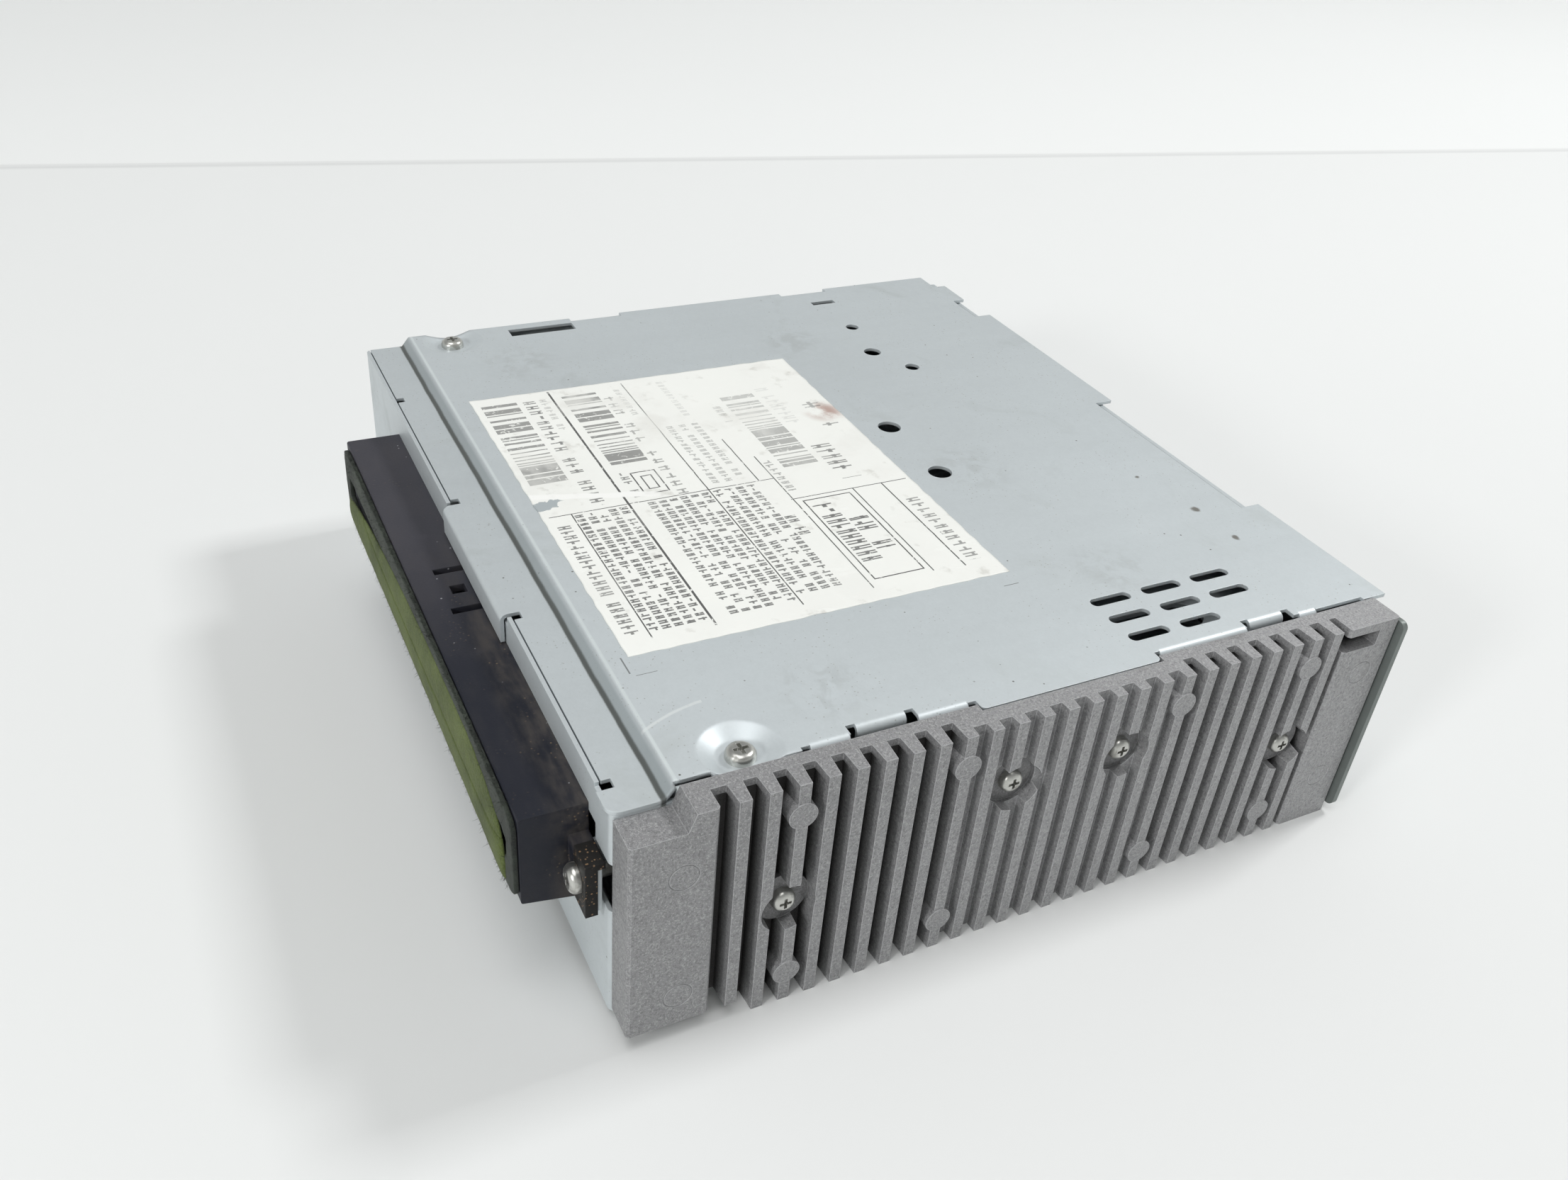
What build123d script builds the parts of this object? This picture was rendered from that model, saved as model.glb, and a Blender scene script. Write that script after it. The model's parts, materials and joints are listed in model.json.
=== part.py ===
"""Slot-loading car CD player: steel case, die-cast heat sink, disc slot bezel and disc mechanism.

The frame has +X across the front, from the left side towards the heat sink, +Y from the disc slot
towards the rear, and +Z up. The origin is on the underside, at the middle of the steel case.
"""

import os
from math import acos, atan2, cos, degrees, pi, radians, sin, tan

from build123d import *

os.makedirs("parts", exist_ok=True)

# Steel case
case_width = 178.0
case_depth = 162.0
body_height = 52.3
sheet = 0.8
step_height = 2.25  # both covers step in along the front edge
step_start = 8.9  # where the step's ramp starts behind the front face
step_run = 1.8
seat_gap = 0.3  # between pieces that are dropped or slid into place
left_x = -case_width / 2
front_y = -case_depth / 2
strip_top = body_height - step_height
step_end = step_start + step_run
lid_under = body_height - sheet
wall_inner = case_width - 1.4  # inner face of the right-hand return flanges

# Lid outline, as distances from the case's left side and from its front face
lid_front = 1.1
lid_right = case_width - 1.7
strip_right = case_width - 0.5
strip_corner = 2.5
fold_face = case_width - 0.9  # outer face of the lid's folded right edge
fold_radius = 1.5
fold_drop = 3.6
fold_spans = (
    (35.2, 42.7),
    (56.2, 66.2),
    (case_depth - 53.0, case_depth - 31.5),
    (case_depth - 17.8, case_depth - 13.4),
)
tab_face = case_width - 2.4
tab_drop = 5.0
tab_spans = ((44.7, 54.4), (case_depth - 29.6, case_depth - 21.0))
relief_width = 1.8
tongue_reach = case_width + 0.8
tongue_span = (67.8, case_depth - 54.4)
tongue_corner = 1.2
rear_tabs = ((7.7, 18.3, 3.7), (30.0, 86.0, 5.0), (case_width - 38.3, fold_face, 5.0))
left_recess_spans = ((53.0, 67.0), (case_depth - 47.0, case_depth - 33.0))
left_recess = 1.9
front_tab_span = (78.3, 121.7)
front_tab_proud = 1.1
front_reliefs = (29.3, *front_tab_span, case_width - 7.3)
front_relief = 2.2
front_relief_depth = 1.6
lid_holes = (
    (26.5, 124.4, 3.5),
    (42.3, 121.9, 4.5),
    (53.5, 127.5, 3.7),
    (81.0, 104.9, 5.5),
    (103.7, 105.1, 5.5),
)
vent_columns = (case_width - 19.1, case_width - 13.1, case_width - 7.1)
vent_rows = (case_depth - 51.2, case_depth - 38.6, case_depth - 26.0)
vent_length = 9.5
vent_width = 2.5
long_slot = (2.7, 6.7, 35.6, 52.7)
short_slot = (8.0, 10.0, case_depth - 41.0, case_depth - 34.0)
floor_vent_columns = (40.0, 60.0, 80.0, 100.0, 120.0, 140.0)
floor_vent_rows = (60.0, 104.0)
floor_vent_length = 30.0

# Screws: head diameter, head height, shank diameter
m3_head, m3_head_height, m3_shank = 5.4, 1.9, 2.9
m26_head, m26_head_height, m26_shank = 4.6, 1.9, 2.5
screw_play = 0.25  # radial, round a shank in a plain hole

# Lid screws in their pressed dimples
right_lid_screw = (case_width - 4.8, 24.0)
left_lid_screw = (4.8, 20.6)
dimple_outer = 7.4
dimple_inner = 4.3
dimple_depth = 1.6
dimple_floor = body_height - dimple_depth
dimple_clearance = 9.0  # half the length of the edge cut away beside a dimple
screw_boss = 8.0

# Heat sink
sink_back = case_width - 0.6
sink_base = 2.6
sink_face = case_width + 6.6
sink_front = 0.3
sink_rear = case_depth + 1.5
sink_inset = 1.35  # how far the front end block stays inside the case's front strip
front_block = 15.5
rear_block_start = sink_rear - 13.3
fin_count = 25
fin_first = 19.8
fin_last = rear_block_start - 3.2
fin_pitch = (fin_last - fin_first) / (fin_count - 1)
fin_tip = 2.2
fin_root = 3.0
shallow_fins = (9, 18)  # between these the floor is raised, behind the amplifier chip
shallow_floor = sink_face - 2.3
boss_radius = 2.65
boss_proud = 0.2  # of the fins' faces
boss_fins = (3, 9, 18, 24)
boss_heights = (7.4, body_height - 6.9)
pocket_radius = 5.2
pocket_floor = sink_face - 3.0
rail_screws = ((29.6, 23.9), (case_depth - 18.4, 23.9))
chip_middle = 86.65
chip_screw_spacing = 24.5
chip_height = body_height - 15.8
# Rear end, floor and roof of the pocket in the rear end block
rear_mouth = (sink_rear - 4.7, body_height - 5.7, body_height - 2.0)
ring_radius = 2.8
ring_groove = 0.3
ring_depth = 0.15
rings = (
    (9.7, body_height - 13.1),
    (9.5, 10.7),
    (sink_rear - 6.1, body_height - 12.3),
    (sink_rear - 6.5, 12.3),
)

# Label on the lid
label_span = (39.2, 143.6, 15.5, 97.0)
label_thickness = 0.12

# Disc, as it lies on the turntable; the mechanism and the bezel follow it
mech_rear = case_depth - 12.0
disc_x = case_width / 2 + 11.0
disc_y = mech_rear - 76.0
disc_under = body_height - 19.15
disc_thickness = 1.2
mech_half_width = case_width / 2 - 23.5
mech_left = disc_x - mech_half_width
mech_right = disc_x + mech_half_width

# Slot bezel and its dust seal
bezel_left = mech_left - 1.2
bezel_right = mech_right + 1.4
bezel_top = disc_under + 10.25
front_tab_bottom = bezel_top + 0.4
bezel_bottom_front = disc_under - 9.0
bezel_bottom_rear = disc_under - 11.25
bezel_depth = 12.0
bezel_wall = 1.8
slot_middle = disc_under + disc_thickness / 2
slot_length = 2 * mech_half_width - 7.0
slot_height = 4.8
slot_flare = 0.7
lug_reach = 8.1
lug_bottom = disc_under - 7.75
lug_top = disc_under + 4.05
lug_front = 3.5
lug_plate = 2.2
lug_roof = 1.3
tongue_width = 14.3
tongue_slit = 2.0
tongue_slit_length = 6.9
tongue_hole = 3.0
tongue_hole_front = -5.2
wall_opening_margin = 3.3
felt_thickness = 1.1
felt_margin = 0.4
foam_length = slot_length - 3.0
foam_height = 5.6
foam_bulge = 1.0
foam_round = 0.5
foam_end = 2.4
foam_gap = 0.6  # under and over the slot
upper_foam_length = 83.0
upper_foam_shift = 14.4  # of its middle, towards the heat sink
upper_foam_end = 1.2  # its height at the ends
upper_foam_rise = 4.6

# Mechanism frame
mech_sheet = 1.0
mech_front = 8.0
cross_plate_rear = 34.0
deck_front = 46.0
deck_top = disc_under - 3.4
wall_bottom = disc_under - 15.95
wall_top = disc_under + 10.1
deck_opening_offset = mech_half_width - 15.5  # sideways from the disc axis, as all offsets of paired openings
deck_opening_middle = disc_y + 21.0
deck_opening_length = 60.0
deck_opening_width = 16.0
outer_offset, inner_offset = mech_half_width - 5.5, mech_half_width - 25.5
plate_opening_offsets = (-outer_offset, -inner_offset, inner_offset, outer_offset)
plate_opening_middle = disc_y + 36.0
plate_opening_length = 50.0
plate_opening_width = 8.0
arm_opening_front = disc_y - 16.0
window_margin = 1.5
rod_tab_half = 2.8
rod_tab_sheet = 1.5
plate_front = 10.0
plate_top = wall_top + mech_sheet
running_gap = 0.05  # radial, a pin or shaft in its hole
side_play = 0.3

# Turntable, its motor and the clamp
motor_radius = 12.0
motor_height = 10.7
motor_boss = 4.2
spindle_radius = 1.0
platter_radius = 14.0
platter_thickness = 2.1
hub_radius = 7.4
hub_height = 2.2
puck_lift = 3.5
puck_radius = 13.5
puck_thickness = 3.1
puck_neck = 5.4
puck_cap = 8.0
puck_cap_thickness = 1.2
arm_under = disc_under + 12.7
arm_sheet = 1.2
arm_nose = 13.0
arm_width = 20.0
arm_root_width = 30.0
arm_flange = 1.8
pivot_y = mech_rear - 2.0
pivot_z = disc_under + 8.35
pivot_radius = 1.2
arm_root_length = 12.0
arm_slot_middle = disc_y + 38.0
arm_slot_length = 26.0
arm_slot_width = 7.0

# Pickup and its drive
pickup_inner = 22.5  # lens to disc axis at the start of the disc
pickup_travel = 36.0
rod_z = disc_under - 8.4
rod_radius = 1.5
rod_spread = 20.0
carriage_under = disc_under - 12.65
carriage_top = disc_under - 4.75
carriage_ahead = 8.8
carriage_behind = 13.2
carriage_half_width = 24.0
carriage_nose = 14.0
turret_radius = 8.0
lens_radius = 2.3
lens_gap = 0.8
screw_x = disc_x + 27.5
feed_radius = 1.5
sled_motor_length = 22.0
sled_motor_width = 12.0
sled_motor_height = 10.0
sled_motor_rear = disc_y + 10.0
thin_shaft_radius = 0.8

# Loading roller, its swinging arm and its gears
roller_y = 22.0
roller_z = disc_under - 5.1
roller_end_radius = 5.0
roller_waist_radius = 4.2
shaft_radius = 1.5
roller_span = (mech_left + 9.5, mech_right - 9.5)
swing_y = 36.0
swing_z = disc_under - 10.9
ear_left = mech_left + 6.5
ear_right = mech_right - 6.5
ear_sheet = 1.0
gear_module = 0.6
gear_left = mech_left - 8.5
gear_width = 2.4
small_teeth = 18
wheel_teeth = 30
mesh_play = 0.1
backlash = 0.12
pressure_angle = 20.0
post_radius = 1.2
worm_pitch_radius = 2.6
thread_depth = 0.5
thread_root = 0.9
thread_half_crest = 0.15
thread_half_root = 0.66
thread_turns = 4
worm_length = 8.6
wheel_hole_count = 5
wheel_hole_radius = 1.4
wheel_hole_place = 4.6
load_motor_front = 50.5
load_motor_length = 25.0
load_motor_width = 12.0
load_motor_height = 15.0

# Disc sensing levers
lever_pivot = (mech_left + 13.5, 58.0)
lever_length = 25.0
lever_angle = -53.0
lever_swing = 60.0
lever_sheet = 1.0
lever_pin_radius = 1.2
lever_gap = 0.2

# Dampers and their posts: left side, then right side
damper_left, damper_right, damper_rear = mech_left - 6.0, mech_right + 5.5, mech_rear - 8.0
damper_places = (
    (damper_left, disc_y + 10.0),
    (damper_left, damper_rear),
    (damper_right, 40.0),
    (damper_right, damper_rear),
)
damper_radius = 4.5
damper_bottom = disc_under - 11.35
ear_under = disc_under - 4.9
ear_half_length = 5.0
mech_board_top = disc_under - 11.75
mech_board_thickness = 1.2
mech_board_span = (mech_left + 9.5, mech_left + 39.5, mech_rear - 40.0, mech_rear - 6.0)
mech_chip_span = (mech_left + 15.5, mech_left + 33.5, mech_rear - 32.0, mech_rear - 24.0)
mech_chip_thickness = 1.8
mech_board_posts = ((mech_left + 31.5, mech_rear - 36.0), (mech_left + 12.5, mech_rear - 14.0))
post_stem = 2.5
post_flange = 4.0

# Circuit board and what stands on it
board_span = (3.0, case_width - 3.6, 11.5, case_depth - 6.0)
board_under = 6.75
board_thickness = 1.6
board_top = board_under + board_thickness
standoff_rear = case_depth - 11.0
standoffs = (
    (30.0, 16.0),
    (95.0, 16.0),
    (case_width - 18.0, 16.0),
    (42.0, standoff_rear),
    (90.0, standoff_rear),
    (case_width - 28.0, standoff_rear),
)
standoff_radius = 3.0
capacitors = ((12.0, 34.0), (12.0, 49.0), (12.0, 64.0))
capacitor_radius = 6.3
capacitor_height = 25.0
can_span = (4.5, 23.0, case_depth - 70.0, case_depth - 15.0)
can_height = 17.0
choke_place = (13.0, 80.0)
choke_flange = 7.0
choke_radius = 6.2
choke_flange_height = 1.5
choke_height = 10.0
chip_places = ((60.0, 40.0, 20.0), (100.0, 50.0, 14.0), (132.0, 90.0, 15.0), (150.0, 125.0, 12.0))
flat_chip_thickness = 1.8
connector_span = (98.0, 142.0)
connector_height = 21.0
connector_bottom = 10.0
connector_front = case_depth - 8.0
connector_reach = case_depth + 8.0
connector_wall = 1.8
connector_floor = case_depth - 4.0
pin_size = 0.8
pin_tip = case_depth + 2.0
pins_per_row = 8
pin_pitch = 2.3
antenna_x = 30.0
antenna_z = 20.0
antenna_radius = 6.0
antenna_bore = 4.5
antenna_reach = case_depth + 9.0
antenna_depth = 11.0
antenna_contact_radius = 1.6
chip_length = 29.2
chip_thickness = 4.5
chip_body = 16.0
clamp_sheet = 1.2

# Rear wall and plate
return_flange = 30.0
rear_foot = 7.0
rear_plate_front = case_depth + 1.8
rear_plate_sheet = 1.2
rear_plate_left = 2.0
rear_plate_right = sink_face + 1.4
rear_plate_top = body_height - 1.2
rear_plate_bottom = 2.0
rear_pad_radius = 4.0
rear_screws = [(x, z) for x in (70.0, case_width - 28.0) for z in (body_height - 8.3, 8.0)]


def across(distance):
    """Gives the X of a distance from the case's left side."""
    return left_x + distance


def behind(distance):
    """Gives the Y of a distance behind the case's front face."""
    return front_y + distance


def block(x0, x1, y0, y1, z0, z1, mode=Mode.ADD):
    """Adds or cuts a rectangular block; X and Y are distances from the left side and the front."""
    with Locations((across((x0 + x1) / 2), behind((y0 + y1) / 2), (z0 + z1) / 2)):
        Box(x1 - x0, y1 - y0, z1 - z0, mode=mode)


def plan_rect(x0, x1, y0, y1, mode=Mode.ADD):
    """Adds or cuts a rectangle of a plan sketch, by distances as in block."""
    with Locations((across((x0 + x1) / 2), behind((y0 + y1) / 2))):
        Rectangle(x1 - x0, y1 - y0, mode=mode)


def plan_slot(x, y, length, width, mode=Mode.SUBTRACT):
    """Cuts a round-ended slot that runs front to back."""
    with Locations((across(x), behind(y))):
        SlotOverall(length, width, rotation=90, mode=mode)


def post(x, y, z0, z1, radius, mode=Mode.ADD):
    """Adds or cuts an upright cylinder between two heights."""
    with Locations((across(x), behind(y), (z0 + z1) / 2)):
        Cylinder(radius, z1 - z0, mode=mode)


def crossbar(x0, x1, y, z, radius, mode=Mode.ADD):
    """Adds or cuts a cylinder that runs across the player."""
    with Locations(Location((across((x0 + x1) / 2), behind(y), z), (0, 90, 0))):
        Cylinder(radius, x1 - x0, mode=mode)


def lengthwise(x, y0, y1, z, radius, mode=Mode.ADD):
    """Adds or cuts a cylinder that runs front to back."""
    with Locations(Location((across(x), behind((y0 + y1) / 2), z), (90, 0, 0))):
        Cylinder(radius, y1 - y0, mode=mode)


def outline(plane, points):
    """Draws a closed outline through points of a plane."""
    with BuildSketch(plane) as drawn:
        with BuildLine():
            Polyline(*points, close=True)
        make_face()
    return drawn.sketch


def pressed_cover(front, rear, low, high, width):
    """Adds a cover sheet across the case: a front strip, a ramp, and the body at another level."""
    below = [
        (behind(front), low),
        (behind(step_start), low),
        (behind(step_end), high),
        (behind(rear), high),
    ]
    above = [(y, z + sheet) for y, z in reversed(below)]
    extrude(outline(Plane.YZ.offset(across(0)), below + above), amount=width)


def bent_edge(plane, flat_end, face, level, fold_end):
    """Draws a sheet that runs out to a face and folds up or down there, with a rounded bend."""
    inner_face = face - sheet if face > flat_end else face + sheet
    inner_level = level - sheet if fold_end < level else level + sheet
    with BuildSketch(plane) as drawn:
        with BuildLine():
            Polyline(
                (flat_end, level),
                (face, level),
                (face, fold_end),
                (inner_face, fold_end),
                (inner_face, inner_level),
                (flat_end, inner_level),
                close=True,
            )
        make_face()
        fillet(vertices().sort_by_distance((face, level, 0))[0], fold_radius)
        fillet(vertices().sort_by_distance((inner_face, inner_level, 0))[0], fold_radius - sheet)
    return drawn.sketch


def side_fold(y0, y1, face, level, fold_end):
    """Folds a cover's right-hand edge between two distances behind the front."""
    plane = Plane.XZ.offset(-behind(y0))
    flat_end = across(face - 2 * fold_radius)
    extrude(bent_edge(plane, flat_end, across(face), level, fold_end), amount=-(y1 - y0))


def screw(seat, outward, head, head_height, shank, length):
    """Adds a pan-head screw: its head's seat is a point, and its head points outward."""
    axis = Vector(*outward)
    side = Vector(0, 0, 1) if axis.Z == 0 else Vector(1, 0, 0)
    rim = (head / 2, head_height * 0.35)
    crown = (head * 0.3, head_height)
    with BuildSketch(Plane(origin=seat, x_dir=side, z_dir=side.cross(axis))) as section:
        with BuildLine():
            Polyline(crown, (0, head_height), (0, -length), (shank / 2, -length))
            Polyline((shank / 2, -length), (shank / 2, 0), (head / 2, 0), rim)
            ThreePointArc(rim, (head * 0.44, head_height * 0.78), crown)
        make_face()
    revolve(section.sketch, axis=Axis(seat, axis))
    with Locations(Plane(origin=Vector(*seat) + axis * head_height, x_dir=side, z_dir=axis)):
        Box(head * 0.5, head * 0.13, head_height, mode=Mode.SUBTRACT)
        Box(head * 0.13, head * 0.5, head_height, mode=Mode.SUBTRACT)


def turned(x, y, profile):
    """Revolves a closed profile of radius and height points about an upright axis."""
    base = (across(x), behind(y), 0)
    section = outline(Plane(origin=base, x_dir=(1, 0, 0), z_dir=(0, -1, 0)), profile)
    revolve(section, axis=Axis(base, (0, 0, 1)))


def dimple(place, level, depth):
    """Presses a screw dimple into a cover sheet; a negative depth presses it upwards."""
    x, y = place
    outer, inner, hole = dimple_outer, dimple_inner, m3_shank / 2 + screw_play
    down = sheet if depth > 0 else -sheet
    post(x, y, min(level, level - down), max(level, level - down), outer, Mode.SUBTRACT)
    turned(
        x,
        y,
        (
            (outer, level),
            (inner, level - depth),
            (hole, level - depth),
            (hole, level - depth - down),
            (inner, level - depth - down),
            (outer, level - down),
        ),
    )


# Lid: a pressed cover with a step along its front edge, folded tabs, vents and access holes
right_margin = (fold_face, fold_face + dimple_outer)
left_margin = (-dimple_outer, 0)
lid_rear = case_depth + max(reach for _, _, reach in rear_tabs)
with BuildPart() as top_cover:
    pressed_cover(-0.5, lid_rear, strip_top - sheet, lid_under, tongue_reach)
    with BuildSketch(Plane.XY):
        plan_rect(0, lid_right, lid_front, case_depth)
        plan_rect(0, strip_right, lid_front, step_end)
        plan_rect(front_reliefs[-1], strip_right, -0.5, step_start)
        fillet(vertices().sort_by_distance((across(strip_right), behind(-0.5), 0))[0], strip_corner)
        plan_rect(lid_right - 1, fold_face, right_lid_screw[1] - 5, fold_spans[0][0] - relief_width)
        with Locations((across(tongue_reach - 5), behind(sum(tongue_span) / 2))):
            RectangleRounded(10, tongue_span[1] - tongue_span[0], tongue_corner)
        for x0, x1, reach in rear_tabs:
            plan_rect(x0, x1, case_depth - 1, case_depth + reach)
        for y0, y1 in left_recess_spans:
            plan_rect(0, left_recess, y0, y1, Mode.SUBTRACT)
        for y0, y1 in fold_spans:
            plan_rect(fold_face - fold_radius, case_width, y0, y1, Mode.SUBTRACT)
        for y0, y1 in tab_spans:
            flat_end = tab_face - fold_radius
            plan_rect(flat_end, case_width, y0 - relief_width, y1 + relief_width, Mode.SUBTRACT)
        for x in front_reliefs:
            relief_rear = lid_front + front_relief_depth
            plan_rect(x - front_relief / 2, x + front_relief / 2, -1, relief_rear, Mode.SUBTRACT)
        for x, y, diameter in lid_holes:
            with Locations((across(x), behind(y))):
                Circle(diameter / 2, mode=Mode.SUBTRACT)
        for x in vent_columns:
            for y in vent_rows:
                if (x, y) != (vent_columns[-1], vent_rows[-1]):
                    plan_slot(x, y, vent_length, vent_width)
        for x0, x1, y0, y1 in (long_slot, short_slot):
            plan_rect(x0, x1, y0, y1, Mode.SUBTRACT)
    extrude(amount=body_height, mode=Mode.INTERSECT)
    for y0, y1 in fold_spans:
        side_fold(y0, y1, fold_face, body_height, body_height - fold_drop)
    for y0, y1 in tab_spans:
        side_fold(y0, y1, tab_face, body_height, body_height - tab_drop)
    front_tab_left = front_tab_span[0] + front_relief / 2
    front_tab_right = front_tab_span[1] - front_relief / 2
    tab_plane = Plane.YZ.offset(across(front_tab_left))
    tab_sketch = bent_edge(
        tab_plane, behind(lid_front + 1), behind(-front_tab_proud), strip_top, front_tab_bottom
    )
    extrude(tab_sketch, amount=front_tab_right - front_tab_left)
    dimple(right_lid_screw, body_height, dimple_depth)
    dimple(left_lid_screw, body_height, dimple_depth)
    for (x0, x1), (_, y) in ((right_margin, right_lid_screw), (left_margin, left_lid_screw)):
        y0, y1 = y - dimple_clearance, y + dimple_clearance
        block(x0, x1, y0, y1, dimple_floor - 2, body_height, Mode.SUBTRACT)
top_cover.part.label = "top_cover"
export_step(top_cover.part, "parts/top_cover.step")

# Floor: a pressed cover like the lid, stepped up along the front, with vents and screw dimples
floor_screws = (right_lid_screw, left_lid_screw)
with BuildPart() as bottom_cover:
    pressed_cover(lid_front, case_depth, step_height, 0, strip_right)
    with BuildSketch(Plane.XY):
        plan_rect(0, lid_right, lid_front, case_depth)
        plan_rect(0, strip_right, lid_front, step_end)
        for y0, y1 in fold_spans:
            plan_rect(fold_face - fold_radius, case_width, y0, y1, Mode.SUBTRACT)
        for x in floor_vent_columns:
            for y in floor_vent_rows:
                plan_slot(x, y, floor_vent_length, vent_width)
    extrude(amount=body_height, mode=Mode.INTERSECT)
    for y0, y1 in fold_spans:
        side_fold(y0, y1, fold_face, 0, fold_drop)
    for place in floor_screws:
        dimple(place, 0, -dimple_depth)
    floor_margins = (((lid_right, right_margin[1]), right_lid_screw), (left_margin, left_lid_screw))
    for (x0, x1), (_, y) in floor_margins:
        block(x0, x1, y - dimple_clearance, y + dimple_clearance, 0, dimple_depth + 1, Mode.SUBTRACT)
bottom_cover.part.label = "bottom_cover"
export_step(bottom_cover.part, "parts/bottom_cover.step")

# Chassis: the front wall, the left wall and a return flange behind the heat sink, bent from one sheet
flange_end = 12.0
side_holes = (case_depth / 2 - 31.0, case_depth / 2 + 31.0)
side_hole_z = 26.0
side_hole_radius = 2.1
side_vents = (70.0, 80.0, 90.0, 100.0)
side_vent_width = 2.5
side_vent_heights = (12.0, 40.0)
with BuildPart() as chassis_frame:
    with BuildSketch(Plane.XY.offset(sheet)):
        plan_rect(0, sink_back, 0, case_depth - sheet)
        plan_rect(sheet, sink_back - sheet, sheet, case_depth, Mode.SUBTRACT)
        plan_rect(sheet, case_width, flange_end, case_depth, Mode.SUBTRACT)
        corners = vertices().group_by(Axis.Y)[0]
        fillet(corners, fold_radius)
    extrude(amount=lid_under - sheet)
    rail_y, rail_z = rail_screws[0]
    block(wall_inner, sink_back, flange_end - 1, rail_y + 6, rail_z - 7, rail_z + 7)
    step_y0, step_y1 = lid_front - seat_gap, step_end + seat_gap
    block(-1, case_width, step_y0, step_y1, strip_top - sheet, body_height, Mode.SUBTRACT)
    block(-1, case_width, -1, lid_front, strip_top, body_height, Mode.SUBTRACT)
    block(*front_tab_span, -1, lid_front, strip_top - fold_radius - seat_gap, body_height, Mode.SUBTRACT)
    block(front_reliefs[-1] - 1, case_width, -1, lid_front, strip_top - sheet, body_height, Mode.SUBTRACT)
    block(-1, case_width, step_y0, step_y1, 0, step_height + sheet, Mode.SUBTRACT)
    block(-1, case_width, -1, lid_front, 0, step_height, Mode.SUBTRACT)
    x0, x1 = bezel_left - wall_opening_margin, bezel_right + wall_opening_margin
    block(x0, x1, -1, sheet + 1, slot_middle - 8, slot_middle + 8, Mode.SUBTRACT)
    x0, x1 = bezel_left - lug_reach - 0.9, case_width
    block(x0, bezel_left, -1, 2, lug_bottom + 1.9, lug_top + 1, Mode.SUBTRACT)
    block(bezel_right, x1, -1, 3, lug_bottom + 1.9, lug_top + 1, Mode.SUBTRACT)
    tab_top = dimple_floor - sheet
    screw_x0, screw_y0 = left_lid_screw
    for z0 in (tab_top - mech_sheet, dimple_depth + sheet):
        block(sheet, screw_x0 + 4, screw_y0 - 5, screw_y0 + 5, z0, z0 + mech_sheet)
    post(screw_x0, screw_y0, 0, body_height, m3_shank / 2, Mode.SUBTRACT)
    post(screw_x0, screw_y0, tab_top, body_height, dimple_outer + seat_gap, Mode.SUBTRACT)
    post(screw_x0, screw_y0, 0, dimple_depth + sheet, dimple_outer + seat_gap, Mode.SUBTRACT)
    for y in side_holes:
        crossbar(-1, 3, y, side_hole_z, side_hole_radius, Mode.SUBTRACT)
    for y in side_vents:
        y0, y1 = y - side_vent_width / 2, y + side_vent_width / 2
        block(-1, 3, y0, y1, *side_vent_heights, Mode.SUBTRACT)
    crossbar(wall_inner - 1, sink_back + 1, rail_y, rail_z, m26_shank / 2, Mode.SUBTRACT)
chassis_frame.part.label = "chassis_frame"
export_step(chassis_frame.part, "parts/chassis_frame.step")

# Rear wall with a return flange, a foot flange and cut-outs for the sockets
return_front = case_depth - return_flange
fold_rear = fold_spans[-1][1] + 2
with BuildPart() as rear_wall:
    with BuildSketch(Plane.XY.offset(sheet)):
        plan_rect(0, sink_back, case_depth - sheet, case_depth)
        plan_rect(wall_inner, sink_back, return_front, case_depth - sheet)
        plan_rect(sheet, 2 * sheet, case_depth - flange_end, case_depth)
    extrude(amount=lid_under - sheet)
    block(10, case_width - 8, case_depth - rear_foot, case_depth - sheet, sheet, 2 * sheet)
    for z0, z1 in ((lid_under - fold_drop - 1, body_height), (0, fold_drop + 1)):
        block(wall_inner - 1, case_width, return_front - 1, fold_rear, z0, z1, Mode.SUBTRACT)
    block(
        connector_span[0] - seat_gap,
        connector_span[1] + seat_gap,
        case_depth - 2,
        case_depth + 1,
        connector_bottom - seat_gap,
        connector_bottom + connector_height + seat_gap,
        Mode.SUBTRACT,
    )
    y0, y1 = case_depth - 2, case_depth + 1
    lengthwise(antenna_x, y0, y1, antenna_z, antenna_radius + seat_gap, Mode.SUBTRACT)
    for x, z in rear_screws:
        lengthwise(x, y0, y1, z, m3_shank / 2, Mode.SUBTRACT)
    crossbar(wall_inner - 1, sink_back + 1, *rail_screws[1], m26_shank / 2, Mode.SUBTRACT)
rear_wall.part.label = "rear_wall"
export_step(rear_wall.part, "parts/rear_wall.step")

# Rear plate: stands off the rear wall on pressed pads and covers the heat sink's end
with BuildPart() as rear_plate:
    with BuildSketch(Plane.XZ.offset(-behind(rear_plate_front))):
        plate_middle = across((rear_plate_left + rear_plate_right) / 2)
        with Locations((plate_middle, (rear_plate_top + rear_plate_bottom) / 2)):
            width, height = rear_plate_right - rear_plate_left, rear_plate_top - rear_plate_bottom
            RectangleRounded(width, height, 1.5)
        with Locations((across(sum(connector_span) / 2), connector_bottom + connector_height / 2)):
            RectangleRounded(
                connector_span[1] - connector_span[0] + 1, connector_height + 1, 1, mode=Mode.SUBTRACT
            )
        with Locations((across(antenna_x), antenna_z)):
            Circle(antenna_radius + 0.5, mode=Mode.SUBTRACT)
    extrude(amount=-rear_plate_sheet)
    for x, z in rear_screws:
        lengthwise(x, case_depth, rear_plate_front, z, rear_pad_radius)
        hole = m3_shank / 2 + screw_play
        lengthwise(x, case_depth - 1, rear_plate_front + 3, z, hole, Mode.SUBTRACT)
rear_plate.part.label = "rear_plate"
export_step(rear_plate.part, "parts/rear_plate.step")

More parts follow.
